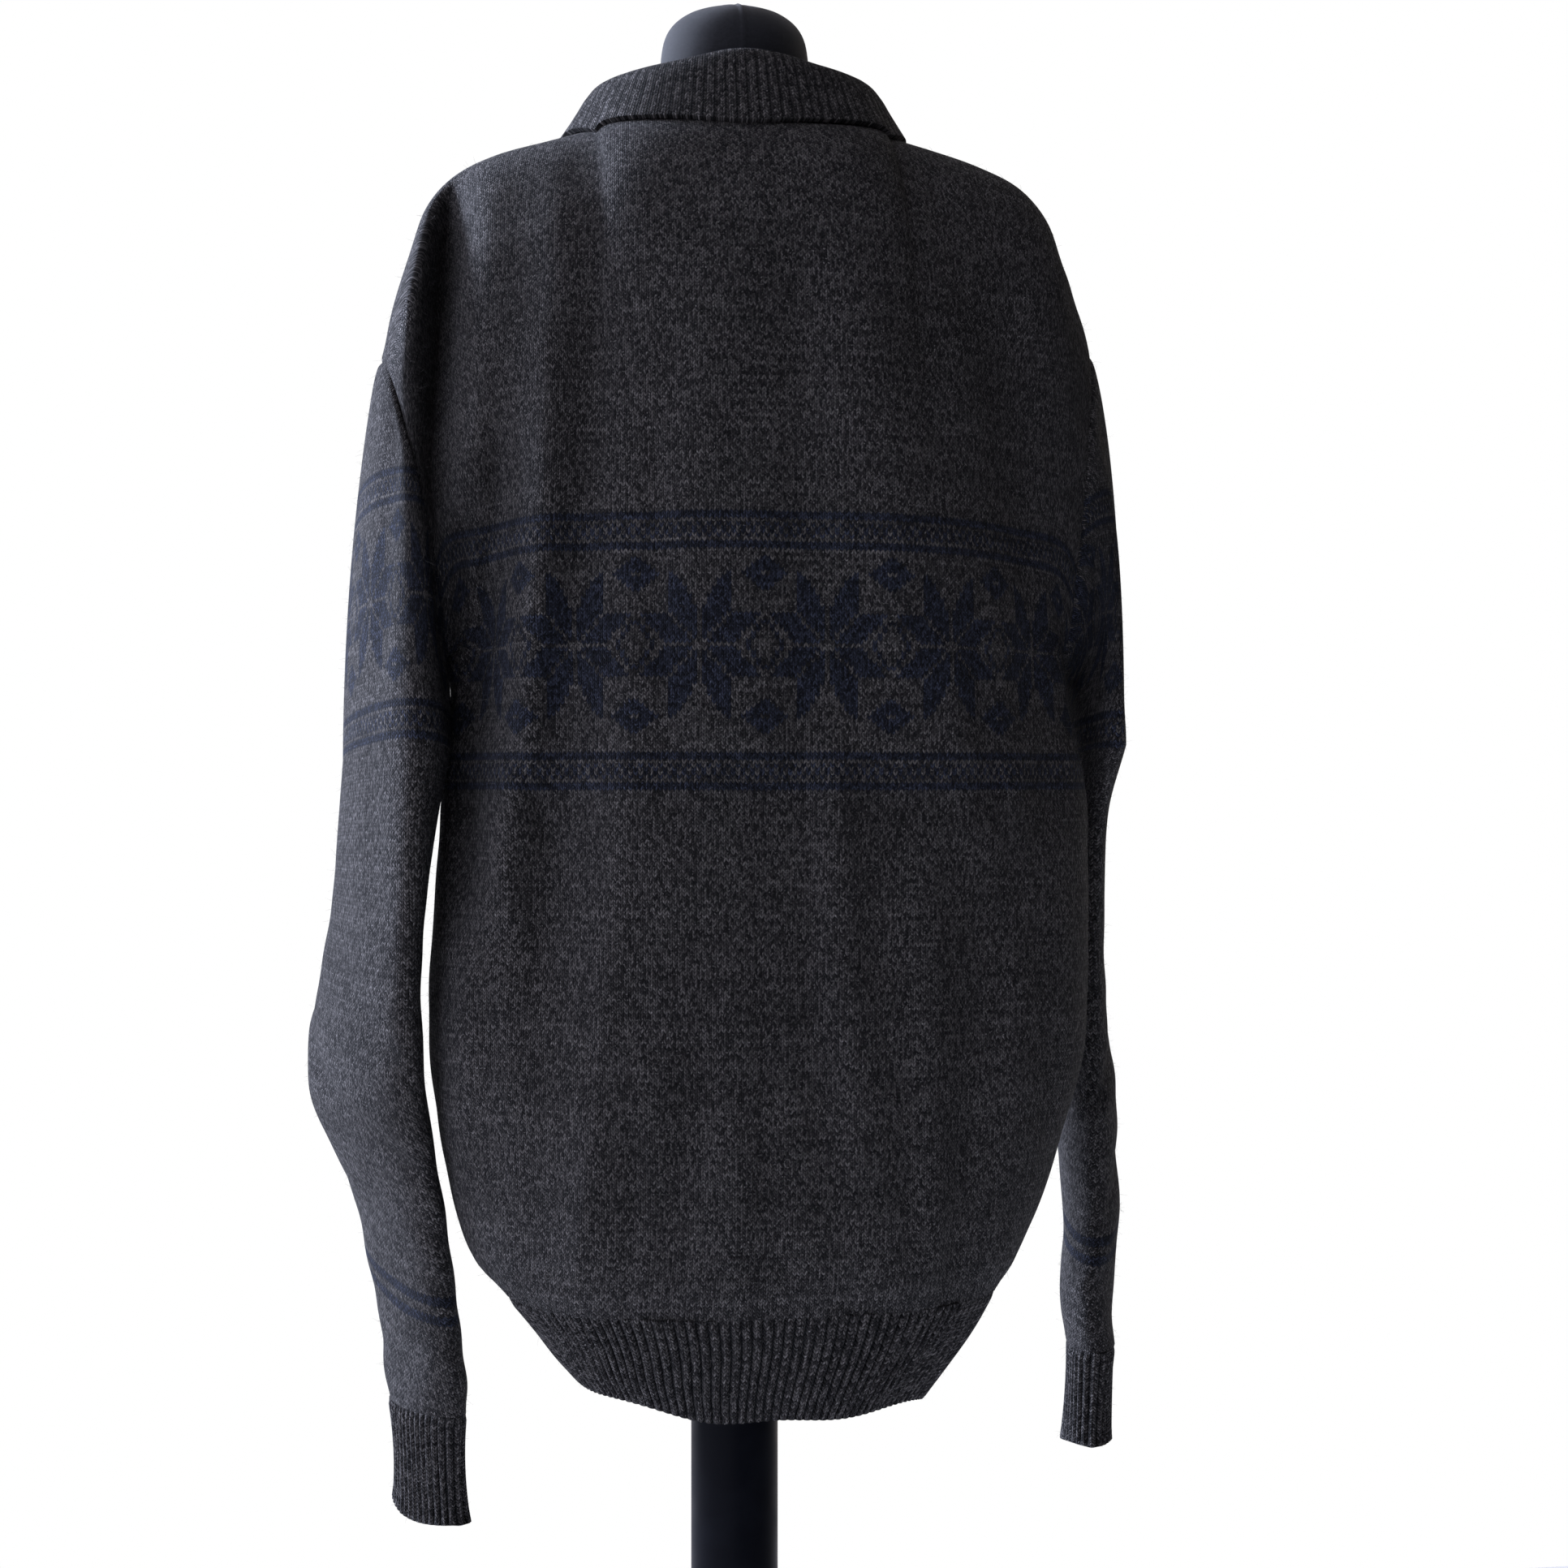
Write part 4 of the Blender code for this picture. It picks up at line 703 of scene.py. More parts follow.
def panel_surface(face):
    """Middle surface of the back or front with its stitch coordinates, from the right side to the left."""
    column = np.linspace(-1, 1, PANEL_SAMPLES)
    column = np.sign(column) * np.abs(column) ** PANEL_SPREAD
    heights = np.linspace(RIB_HEIGHT, CHEST_HEIGHT, BODY_ROWS + 1)
    body = level_points(face, column[None, :], heights[:-1, None])
    share = np.linspace(0, 1, YOKE_ROWS + 1)
    share = np.concatenate([share[:-1], 1 - np.array(TOP_STEPS)])
    yoke = yoke_points(face, column[None, :], share[:, None])
    points = np.concatenate([body, yoke])

    # Folds and creases fade out at the side seams, the shoulder line and the rib
    quiet_row = np.concatenate([np.ones(BODY_ROWS), 1 - share**TOP_QUIET_POWER])
    from_rib = (heights[:-1] - RIB_HEIGHT) / RIB_QUIET_HEIGHT
    quiet_row[:BODY_ROWS] *= np.clip(RIB_QUIET + (1 - RIB_QUIET) * from_rib, 0, 1)
    x, z = points[..., 0], points[..., 2]
    large = (FOLDS, FOLD_FADE, SIDE_QUIET_POWER)
    fine = (CREASES, CREASE_FADE, CREASE_QUIET_POWER)
    for table, fade, power in (large, fine):
        quiet = quiet_row[:, None] * (1 - np.abs(column[None, :]) ** power)
        points[..., 1] += face * fold_depth(table, fade, face, x, z) * quiet
    points, across = even_panel_columns(points)

    # Courses are level up to the chest and then follow the cloth
    up = arc_lengths(points, 0)
    up += CHEST_HEIGHT - BAND_FOOT - up[BODY_ROWS][None, :]
    level = np.minimum(points[..., 2], CHEST_HEIGHT) - BAND_FOOT
    up = np.where(np.arange(len(points))[:, None] < BODY_ROWS, level, up)

    # Sunken seams, the pucker above the rib and the cloth's uneven waves
    outward = -1 if face == BACK else 1
    normals = normals_of(points, False) * outward
    edge = np.minimum(across - across[:, :1], across[:, -1:] - across)
    top_way = arc_lengths(points, 0)[-1][None, :] - arc_lengths(points, 0)
    over_shoulder = np.abs(points[-1, :, 1])[None, :] < OVER_SHOULDER
    top_sink = bell(top_way, SEAM_WIDTH, SEAM_SINK) * over_shoulder
    sink = np.maximum(bell(edge, SEAM_WIDTH, SEAM_SINK), top_sink)
    gather = PUCKER * np.exp(-(points[..., 2] - RIB_HEIGHT) / PUCKER_FADE)
    sway = PUCKER_SWAY * np.sin(across * PUCKER_SWAY_RATE)
    pucker = gather * np.cos(2 * math.pi * across / PUCKER_LENGTH + sway)
    rate_across, rate_sway, rate_up = UNEVEN_RATES
    slant = UNEVEN_SWAY * np.sin(points[..., 2] * rate_sway)
    uneven = UNEVEN * np.sin(across * rate_across + slant) * np.sin(points[..., 2] * rate_up)
    points = points + normals * (pucker - sink + uneven)[..., None]
    uv = np.stack([across / WALE, up / COURSE], -1)
    return points, normals_of(points, False) * outward, uv


def sleeve_ovals(side, values, turn):
    height, inner, outer, back, front, thick = values
    half_width = (outer - inner) / 2
    half_thick = np.minimum(thick / 2, half_width)
    lean = np.sqrt(half_width**2 - half_thick**2)
    x = (outer + inner) / 2 + half_thick * np.cos(turn) - lean * np.sin(turn)
    y = (back + front) / 2 + (back - front) / 2 * np.sin(turn)
    return np.stack(np.broadcast_arrays(side * x, y, height), -1)


def armhole_ring(side, turns):
    """The armhole seam as a ring of turns: 0 is the shoulder end, half a turn the underarm."""
    around = turns % (2 * math.pi)
    on_back = around <= math.pi
    row = 1 - np.where(on_back, around, 2 * math.pi - around) / math.pi
    edge = np.full_like(row, float(side))
    back, front = (yoke_points(face, edge, row) for face in (BACK, FRONT))
    return np.where(on_back[..., None], back, front)


def sleeve_creases(side, turns, z):
    """How far the creases of a sleeve lift or sink its cloth."""
    total = np.zeros_like(z)
    degrees = np.degrees(turns)[None, :]
    for row in SLEEVE_CREASES:
        crease = dict(zip(SLEEVE_CREASE_COLUMNS, row))
        if crease["side"] != side:
            continue
        top, foot = crease["top_z"], crease["foot_z"]
        along = (top - z) / (top - foot)
        line = crease["top_turn"] + (crease["foot_turn"] - crease["top_turn"]) * along
        miss = np.radians((degrees - line + 180) % 360 - 180) * SLEEVE_RADIUS
        past = np.maximum(np.maximum(foot - z, z - top), 0)
        total += bell(past, SLEEVE_CREASE_FADE, crease["depth"]) * bell(miss, crease["width"])
    return total


def sleeve_surface(side):
    """Middle surface of a sleeve with its stitch coordinates, from the armhole to the cuff."""
    turns = np.linspace(-math.pi, math.pi, SLEEVE_COLUMNS_ROUND + 1)
    table = SLEEVE_SECTIONS[side]

    # The head runs from the armhole seam to the first section, and the arm from there to the cuff
    loop = armhole_ring(side, turns)
    first = sleeve_ovals(side, table[0], turns)
    steps = np.linspace(0, 1, HEAD_ROWS + 1)[:, None]
    steps = np.concatenate([np.array(HEAD_FIRST_STEPS)[:, None], steps[1:]])
    under = (1 - np.cos(turns)) / 2
    ease = HEAD_EASE_TOP + (HEAD_EASE_UNDERARM - HEAD_EASE_TOP) * under
    eased = (1 - (1 - steps) ** ease[None, :], 1 - (1 - steps) ** HEAD_EASE_Y, steps**HEAD_EASE_Z)
    head = loop[None] + (first - loop)[None] * np.stack(np.broadcast_arrays(*eased), -1)
    heights = np.linspace(table[0][0], table[-1][0], SLEEVE_ROWS + 1)[1:, None]
    values = [curve(table, SLEEVE_COLUMNS, "height", name, heights) for name in SLEEVE_COLUMNS[1:]]
    points = np.concatenate([head, sleeve_ovals(side, (heights, *values), turns[None, :])])
    reach, height, length = UNDERARM_SWELL[side]
    inner_side = np.maximum(-np.cos(turns), 0) ** 2
    swell = bell(points[..., 2] - height, length, reach)
    swell *= 1 - bell(arc_lengths(points, 0), SWELL_EASE)
    points[..., 0] -= side * swell * inner_side
    points[:, -1] = points[:, 0]

    # Wales are counted from the outer line, and courses from the foot of the star band
    way_round = arc_lengths(points, 1)
    middle = SLEEVE_COLUMNS_ROUND // 2
    across = (way_round - way_round[:, middle : middle + 1]) * side
    down = arc_lengths(points, 0)
    band = np.abs(points[:, middle, 2] - SLEEVE_BAND_FOOT[side]).argmin()
    up = down[band][None, :] - down
    tilt = np.interp(points[..., 2], COURSE_TILT_HEIGHTS, COURSE_TILTS)
    up += tilt * (points[..., 1] - points[..., 1].mean(axis=1, keepdims=True))

    # Creases, small waves and the sunken armhole seam
    outward = -1 if side == LEFT else 1
    normals = normals_of(points, True) * outward
    z = points[..., 2]
    rate_down, rate_sway = SLEEVE_WAVE_RATES
    sway = SLEEVE_WAVE_SWAY * np.sin(2 * turns[None, :] + z * rate_sway)
    wave = SLEEVE_WAVE * np.sin(z * rate_down + sway)
    wave *= np.clip((SLEEVE_WAVE_TOP - z) / SLEEVE_WAVE_EASE, 0, 1)
    shape = sleeve_creases(side, turns, z) + wave
    shape *= np.clip(down / SLEEVE_EDGE_EASE, 0, 1)
    shape -= bell(down, SEAM_WIDTH, SEAM_SINK)
    points = points + normals * shape[..., None]
    return points, normals_of(points, True) * outward, np.stack([across / WALE, up / COURSE], -1)


def add_mesh(name, points, faces, uv, material, sharp=60, uv_faces=None):
    """One smooth mesh with a UV map of stitches, kept on the frame's only body.

    uv_faces names each corner's row of uv where it isn't the corner's vertex, as along a tube's seam.
    """
    mesh = bpy.data.meshes.new(name)
    mesh.from_pydata(np.asarray(points, float).tolist(), [], faces)
    if uv is not None:
        layer = mesh.uv_layers.new(name="stitch")
        corners = np.concatenate([np.array(face, np.int32) for face in (uv_faces or faces)])
        layer.data.foreach_set("uv", np.asarray(uv, np.float32)[corners].ravel())
    mesh.materials.append(material)
    mesh.shade_smooth()
    mesh.set_sharp_from_angle(angle=math.radians(sharp))
    obj = bpy.data.objects.new(name, mesh)
    bpy.context.scene.collection.objects.link(obj)
    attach(obj, "root")
    return obj


def grid_faces(rows, columns, start=0, flip=False):
    index = np.arange(rows * columns).reshape(rows, columns) + start
    corners = (index[:-1, :-1], index[:-1, 1:], index[1:, 1:], index[1:, :-1])
    if flip:
        corners = corners[::-1]
    return np.stack(corners, -1).reshape(-1, 4).tolist()


def ring_faces(rings, sides, start=0):
    """Faces between closed rings of vertices that follow each other."""
    faces = []
    for ring in range(rings - 1):
        foot = start + ring * sides
        for n in range(sides):
            k = (n + 1) % sides
            faces.append([foot + n, foot + k, foot + sides + k, foot + sides + n])
    return faces


def wall(name, outer, inner, uv, material, facing, closed=False):
    """A wall between two surfaces. facing is 1 if a grid face's corners run round the way out."""
    rows, columns = outer.shape[:2]
    count = rows * columns
    faces = grid_faces(rows, columns, 0, facing < 0)
    faces += grid_faces(rows, columns, count, facing > 0)
    index = np.arange(count).reshape(rows, columns)
    rims = [(index[0], 1), (index[-1], -1)]
    if not closed:
        rims += [(index[:, 0], -1), (index[:, -1], 1)]
    for line, way in rims:
        a, b = line[:-1], line[1:]
        quads = np.stack([a, a + count, b + count, b], -1)
        if way * facing < 0:
            quads = quads[:, ::-1]
        faces += quads.tolist()
    every_uv = np.concatenate([uv.reshape(-1, 2)] * 2)
    points = np.stack([outer, inner])
    if not closed:
        return add_mesh(name, points.reshape(-1, 3), faces, every_uv, material)
    points = points[:, :, :-1].reshape(-1, 3)
    welded = np.empty((2, rows, columns), int)
    welded[:, :, :-1] = np.arange(len(points)).reshape(2, rows, columns - 1)
    welded[:, :, -1] = welded[:, :, 0]
    welded = welded.ravel()
    vertex_faces = [[int(welded[n]) for n in face] for face in faces]
    return add_mesh(name, points, vertex_faces, every_uv, material, uv_faces=faces)


def shell(name, points, normals, uv, material, thickness, facing, closed=False):
    """A wall of even thickness round a middle surface."""
    half = normals * thickness / 2
    return wall(name, points + half, points - half, uv, material, facing, closed)


def body_ring(height, turns):
    """The whole body's level section, counter-clockwise from the left side seam."""
    size = np.arctan2(np.abs(np.cos(turns)), np.abs(np.sin(turns))) / (math.pi / 2)
    column = np.where(np.cos(turns) >= 0, size, -size)
    heights = np.full_like(turns, height)
    back, front = (level_points(face, column, heights) for face in (BACK, FRONT))
    return np.where((np.sin(turns) >= 0)[:, None], back, front)


def even_ring(ring_at, count):
    """Evenly spaced points of a ring, the first one again at the end."""
    dense = ring_at(np.linspace(0, 2 * math.pi, RING_SAMPLES))
    return points_at(dense, np.linspace(0, way_along(dense)[-1], count + 1))


def rib_profile(phase):
    """Height of a rounded rib, from -1 in the furrow to 1 on its back."""
    return 2 * np.abs(np.cos(math.pi * phase)) ** 0.8 - 1


def rib_band(name, top, foot, rows, ring_at, ribs, drop_at, material):
    """A ribbed band that hangs from top to foot, with a thicker first and last edge."""
    samples = ribs * RIB_SAMPLES
    phase = np.arange(samples + 1) / RIB_SAMPLES
    grid, uv = [], []
    for height in np.linspace(top, foot, rows):
        line = even_ring(lambda turns: ring_at(height, turns), samples)
        line[:, 2] += drop_at(line) * (top - height) / (top - foot)
        grid.append(line)
        uv.append(np.stack([phase * 2, np.full(samples + 1, (height - foot) / COURSE)], -1))
    points = np.array(grid)
    normals = -normals_of(points, True)
    share = np.linspace(0, 1, rows)[:, None]
    phase = phase[None, :]
    rise = RIB_RISE * RIB_KNIT * rib_profile(phase + band_wave(RIB_SWAY, share, phase))
    rise *= np.clip(np.minimum(share, 1 - share) / RIB_EDGE_SHARE, RIB_EDGE_RISE, 1)
    rise += bell(1 - share, *RIB_BEAD) - bell(share, *RIB_TUCK)
    ripple = band_wave(RIB_RIPPLE, share, phase)
    outer = points + normals * (CLOTH / 2 + rise + ripple)[..., None]
    inner = points - normals * (CLOTH / 2 - ripple)[..., None]
    return wall(name, outer, inner, np.array(uv), material, -1, True)


def hem_drop(points):
    return waves_at(HEM_WAVES, np.arctan2(points[:, 1], points[:, 0]))


def cuff_drop(points):
    return CUFF_WAVE * np.sin(2 * math.pi * points[:, 1] / CUFF_WAVE_LENGTH)


def cuff_ring(side, height, turns):
    last = SLEEVE_SECTIONS[side][-1]
    share = (last[0] - height) / CUFF_LENGTH
    sway, forward = CUFF_FLARE[side]
    points = sleeve_ovals(side, last, side * turns)
    centre = np.array((side * (last[1] + last[2]) / 2, (last[3] + last[4]) / 2, last[0]))
    squeeze = 1 - CUFF_SQUEEZE * max(math.sin(math.pi * share), 0.0) ** CUFF_SQUEEZE_POWER
    points = centre + (points - centre) * squeeze
    points[:, 0] -= side * sway * share
    points[:, 1] -= forward * share
    points[:, 2] = height
    return points


def neck_line(count):
    """Evenly spaced points of the neck seam, from the left front end round the back."""
    legs = (
        (FRONT, 0.0, NECK_COLUMN),
        (BACK, NECK_COLUMN, 0.0),
        (BACK, 0.0, -NECK_COLUMN),
        (FRONT, -NECK_COLUMN, 0.0),
    )
    inside = NECK_COLUMN - 1e-6
    pieces = []
    for face, first, last in legs:
        column = np.linspace(first, last, NECK_SAMPLES, endpoint=False)
        column = np.where(np.abs(column) >= NECK_COLUMN, np.sign(column) * inside, column)
        points = top_points(face, column)
        if face == FRONT:
            points = points[np.abs(points[:, 0]) >= COLLAR_END]
        pieces.append(points)
    path = np.concatenate(pieces)
    return points_at(path, np.linspace(0, way_along(path)[-1], count))


def cloth_under(objects):
    """Height of the cloth's outer side under a point."""
    vertices, faces = [], []
    for obj in objects:
        start = len(vertices)
        vertices += [v.co.copy() for v in obj.data.vertices]
        faces += [[n + start for n in face.vertices] for face in obj.data.polygons]
    tree = BVHTree.FromPolygons(vertices, faces)

    def height_at(x, y):
        hit = tree.ray_cast(Vector((x, y, 2.0)), Vector((0, 0, -1)))[0]
        return hit.z

    return height_at


def smooth_line(points, count):
    """A smooth curve through a few points, as count points spaced evenly along it."""
    points = np.asarray(points)
    keys = way_along(points)
    at = np.linspace(0, keys[-1], count)
    out = []
    for axis in range(3):
        rows = list(zip(keys, points[:, axis]))
        out.append(curve(rows, ("key", "value"), "key", "value", at))
    return np.stack(out, 1)


def make_collar(height_at, material):
    """The collar: from the neck seam up its stand, over the roll and down the fall to the edge."""
    stations = COLLAR_RIBS * RIB_SAMPLES + 1
    base = neck_line(stations)
    along = np.gradient(base, axis=0)
    out = np.stack([along[:, 1], -along[:, 0], np.zeros(stations)], 1)
    out /= np.linalg.norm(out, axis=1, keepdims=True)
    way = np.linspace(0, 1, stations)
    stand, lean, reach, lift = (
        curve(COLLAR_SECTIONS, COLLAR_COLUMNS, "way", name, way) for name in COLLAR_COLUMNS[1:]
    )
    reach = reach + waves_at(COLLAR_REACH_WAVES, way)
    stand = stand + waves_at(COLLAR_STAND_WAVES, way)
    inset = -(COLLAR_CLOTH / 2 + COLLAR_GAP)
    up = np.array((0, 0, 1.0))
    lines = []
    for n in range(stations):
        b, o = base[n], out[n]
        outer = b + o * (inset + lean[n] + ROLL_WIDTH) + up * (stand[n] - ROLL_DROP)
        edge = b + o * reach[n]
        edge[2] = height_at(edge[0], edge[1]) + lift[n] * EDGE_LIFT
        line = [
            b + o * inset - up * CLOTH / 2,
            b + o * (inset + lean[n]) + up * (stand[n] - STAND_DROP),
            b + o * (inset + lean[n] + ROLL_WIDTH / 2) + up * stand[n],
            outer,
        ]
        for share in FALL_STEPS:
            point = outer + (edge - outer) * share
            point[2] = max(point[2], height_at(point[0], point[1]) + lift[n] * MID_LIFT)
            line.append(point)
        line.append(edge)
        lines.append(smooth_line(line, COLLAR_ROWS))
    points = np.swapaxes(np.array(lines), 0, 1)
    normals = normals_of(points, False)
    phase = (np.arange(stations) / RIB_SAMPLES)[None, :]
    share = np.linspace(0, 1, COLLAR_ROWS)[:, None]
    rise = COLLAR_RIB_RISE * rib_profile(phase + band_wave(COLLAR_SWAY, share, phase))
    rise *= np.clip((1 - share) / RIB_EDGE_SHARE, COLLAR_EDGE_RISE, 1)
    rise += bell(1 - share, *COLLAR_BEAD)
    outer = points + normals * (COLLAR_CLOTH / 2 + rise)[..., None]
    inner = points - normals * (COLLAR_CLOTH / 2)
    uv = np.stack(np.broadcast_arrays(phase * 2, -arc_lengths(points, 0) / COURSE), -1)
    return wall("collar_knit", outer, inner, uv, material, 1)


def placket_lines():
    """The front's centre line and the way to either side of it, on the solids' rows."""
    share = np.arange(SOLID_YOKE_ROWS - PLACKET_ROWS, SOLID_YOKE_ROWS + 1) / SOLID_YOKE_ROWS
    column = np.array(PLACKET_COLUMNS)
    points = yoke_points(FRONT, column[None, :], share[:, None])
    quiet = (1 - share**TOP_QUIET_POWER)[:, None] * (1 - np.abs(column) ** SIDE_QUIET_POWER)[None, :]
    points[..., 1] -= fold_depth(FOLDS, FOLD_FADE, FRONT, points[..., 0], points[..., 2]) * quiet
    return points


def make_placket(name, lift, thickness, material, rib):
    """One placket band, with the line down its middle and that line's normals."""
    lines = placket_lines()
    sides = []
    for column in (0, 2):
        step = lines[:, column] - lines[:, 1]
        sides.append(lines[:, 1] + step * (PLACKET_HALF_WIDTH / np.abs(step[:, :1])))
    rows, columns = PLACKET_GRID
    left, middle, right = (smooth_line(line, rows) for line in (sides[0], lines[:, 1], sides[1]))
    share = np.linspace(-1, 1, columns)
    points = np.empty((rows, columns, 3))
    for n, s in enumerate(share):
        side = left if s < 0 else right
        points[:, n] = middle + (side - middle) * abs(s)
    normals = normals_of(points, False)
    height = np.full((1, columns), lift)
    if rib:
        edge = 1 - np.abs(share)[None, :]
        height -= bell(edge, *PLACKET_ROUND) + bell(edge - PLACKET_FURROW_PLACE, *PLACKET_FURROW)
        height += PLACKET_CORD * rib_profile((share[None, :] + 1) * PLACKET_CORDS)
    points = points + normals * height[..., None]
    across = share[None, :] * PLACKET_HALF_WIDTH / WALE
    down = (arc_lengths(points, 0) - PLACKET_STITCH_START) / COURSE
    uv = np.stack(np.broadcast_arrays(across, down), -1)
    return shell(name, points, normals, uv, material, thickness, 1), middle, normals[:, columns // 2]


def make_button(name, place, normal, material, thread):
    """A turned button with a raised rim, a dished face and four sewn holes."""
    face_width, face_height = BUTTON_FACE
    sizes = (BUTTON_RADIUS, BUTTON_RADIUS, BUTTON_HEIGHT)
    turn = Vector(normal).to_track_quat("Z", "Y").to_matrix()
    place = Vector(place)
    holes = [(a * HOLE_OFFSET, b * HOLE_OFFSET) for a in (-1, 1) for b in (-1, 1)]
    points = []
    for wide, high in BUTTON_PROFILE:
        for n in range(BUTTON_SIDES):
            angle = 2 * math.pi * n / BUTTON_SIDES
            x, y = wide * math.cos(angle), wide * math.sin(angle)
            dip = 0.0
            if high > face_height and wide < face_width:
                dip = bell(min(math.hypot(x - a, y - b) for a, b in holes), HOLE_WIDTH, HOLE_DEPTH)
            points.append(turn @ Vector(np.multiply((x, y, high - dip), sizes)) + place)
    faces = ring_faces(len(BUTTON_PROFILE), BUTTON_SIDES)
    button = add_mesh(name, points, faces, None, material)

    stitches, stitch_faces = [], []
    for a, b in ((1, 1), (1, -1)):
        stitch_faces += ring_faces(THREAD_STEPS + 1, THREAD_SIDES, len(stitches))
        for n in range(THREAD_STEPS + 1):
            share = n / THREAD_STEPS * 2 - 1
            height = THREAD_HEIGHT + THREAD_ARCH * (1 - share**4)
            centre = np.array((a * HOLE_OFFSET * share, b * HOLE_OFFSET * share, height))
            for m in range(THREAD_SIDES):
                angle = 2 * math.pi * m / THREAD_SIDES
                across = np.array((-b * DIAGONAL, a * DIAGONAL, 0)) * math.cos(angle) * THREAD_HALF_WIDTH
                rise = np.array((0, 0, 1)) * math.sin(angle) * THREAD_HALF_HEIGHT
                stitches.append(turn @ Vector((centre + across + rise) * sizes) + place)
    sewn = add_mesh(name + "_thread", stitches, stitch_faces, None, thread)
    return button, sewn


def turned(name, profile, sides, material, sharp=35):
    """A solid of revolution round the form's axis; its profile runs from the foot up."""
    angle = np.arange(sides) * 2 * math.pi / sides
    points = []
    for radius, height in profile:
        ring = (radius * np.cos(angle), radius * np.sin(angle), np.full(sides, height))
        points += np.stack(ring, -1).tolist()
    faces = ring_faces(len(profile), sides)
    faces.append(list(reversed(range(sides))))
    faces.append(list(range((len(profile) - 1) * sides, len(profile) * sides)))
    return add_mesh(name, points, faces, None, material, sharp)


def make_form_cover(material):
    """The form's jersey cover, with a sewn line down the middle of its back and front."""
    foot, last = FORM_RINGS[0][0], FORM_RINGS[-1][0]
    lower = np.linspace(foot, COVER_TURN, COVER_LOWER_ROWS, endpoint=False)
    rise = np.sin(np.linspace(0, math.pi / 2, COVER_UPPER_ROWS))
    heights = np.concatenate([lower, COVER_TURN + (last - COVER_TURN) * rise])[:, None]
    angle = np.linspace(0, 2 * math.pi, COVER_SIDES + 1)[None, :]
    half, back, front = (
        curve(FORM_RINGS, FORM_COLUMNS, "height", name, heights) for name in FORM_COLUMNS[1:]
    )
    depth = np.where(np.sin(angle) >= 0, back, front)
    points = np.stack(np.broadcast_arrays(half * np.cos(angle), depth * np.sin(angle), heights), -1)
    normals = -normals_of(points, True)
    normals[:, -1] = normals[:, 0]
    beside = points[..., 0]
    seam = bell(beside, *COVER_SEAM) + bell(np.abs(beside) - COVER_RIDGE_PLACE, *COVER_RIDGE)
    points = points + normals * np.where(np.abs(np.sin(angle)) > 0.5, seam, 0)[..., None]
    faces = grid_faces(len(heights), COVER_SIDES + 1)
    count = len(heights) * (COVER_SIDES + 1)
    start = count - COVER_SIDES - 1
    faces += [[start + n, start + n + 1, count] for n in range(COVER_SIDES)]
    faces += [[n + 1, n, count + 1] for n in range(COVER_SIDES)]
    points = np.concatenate([points.reshape(-1, 3), [[0, 0, last + COVER_TIP], [0, 0, foot]]])
    wales = angle * JERSEY_RADIUS / JERSEY_WALE
    courses = (heights - JERSEY_START) / JERSEY_COURSE
    uv = np.stack(np.broadcast_arrays(wales, courses), -1).reshape(-1, 2)
    uv = np.concatenate([uv, [[0, 0], [0, 0]]])
    return add_mesh("form_cover", points, faces, uv, material)


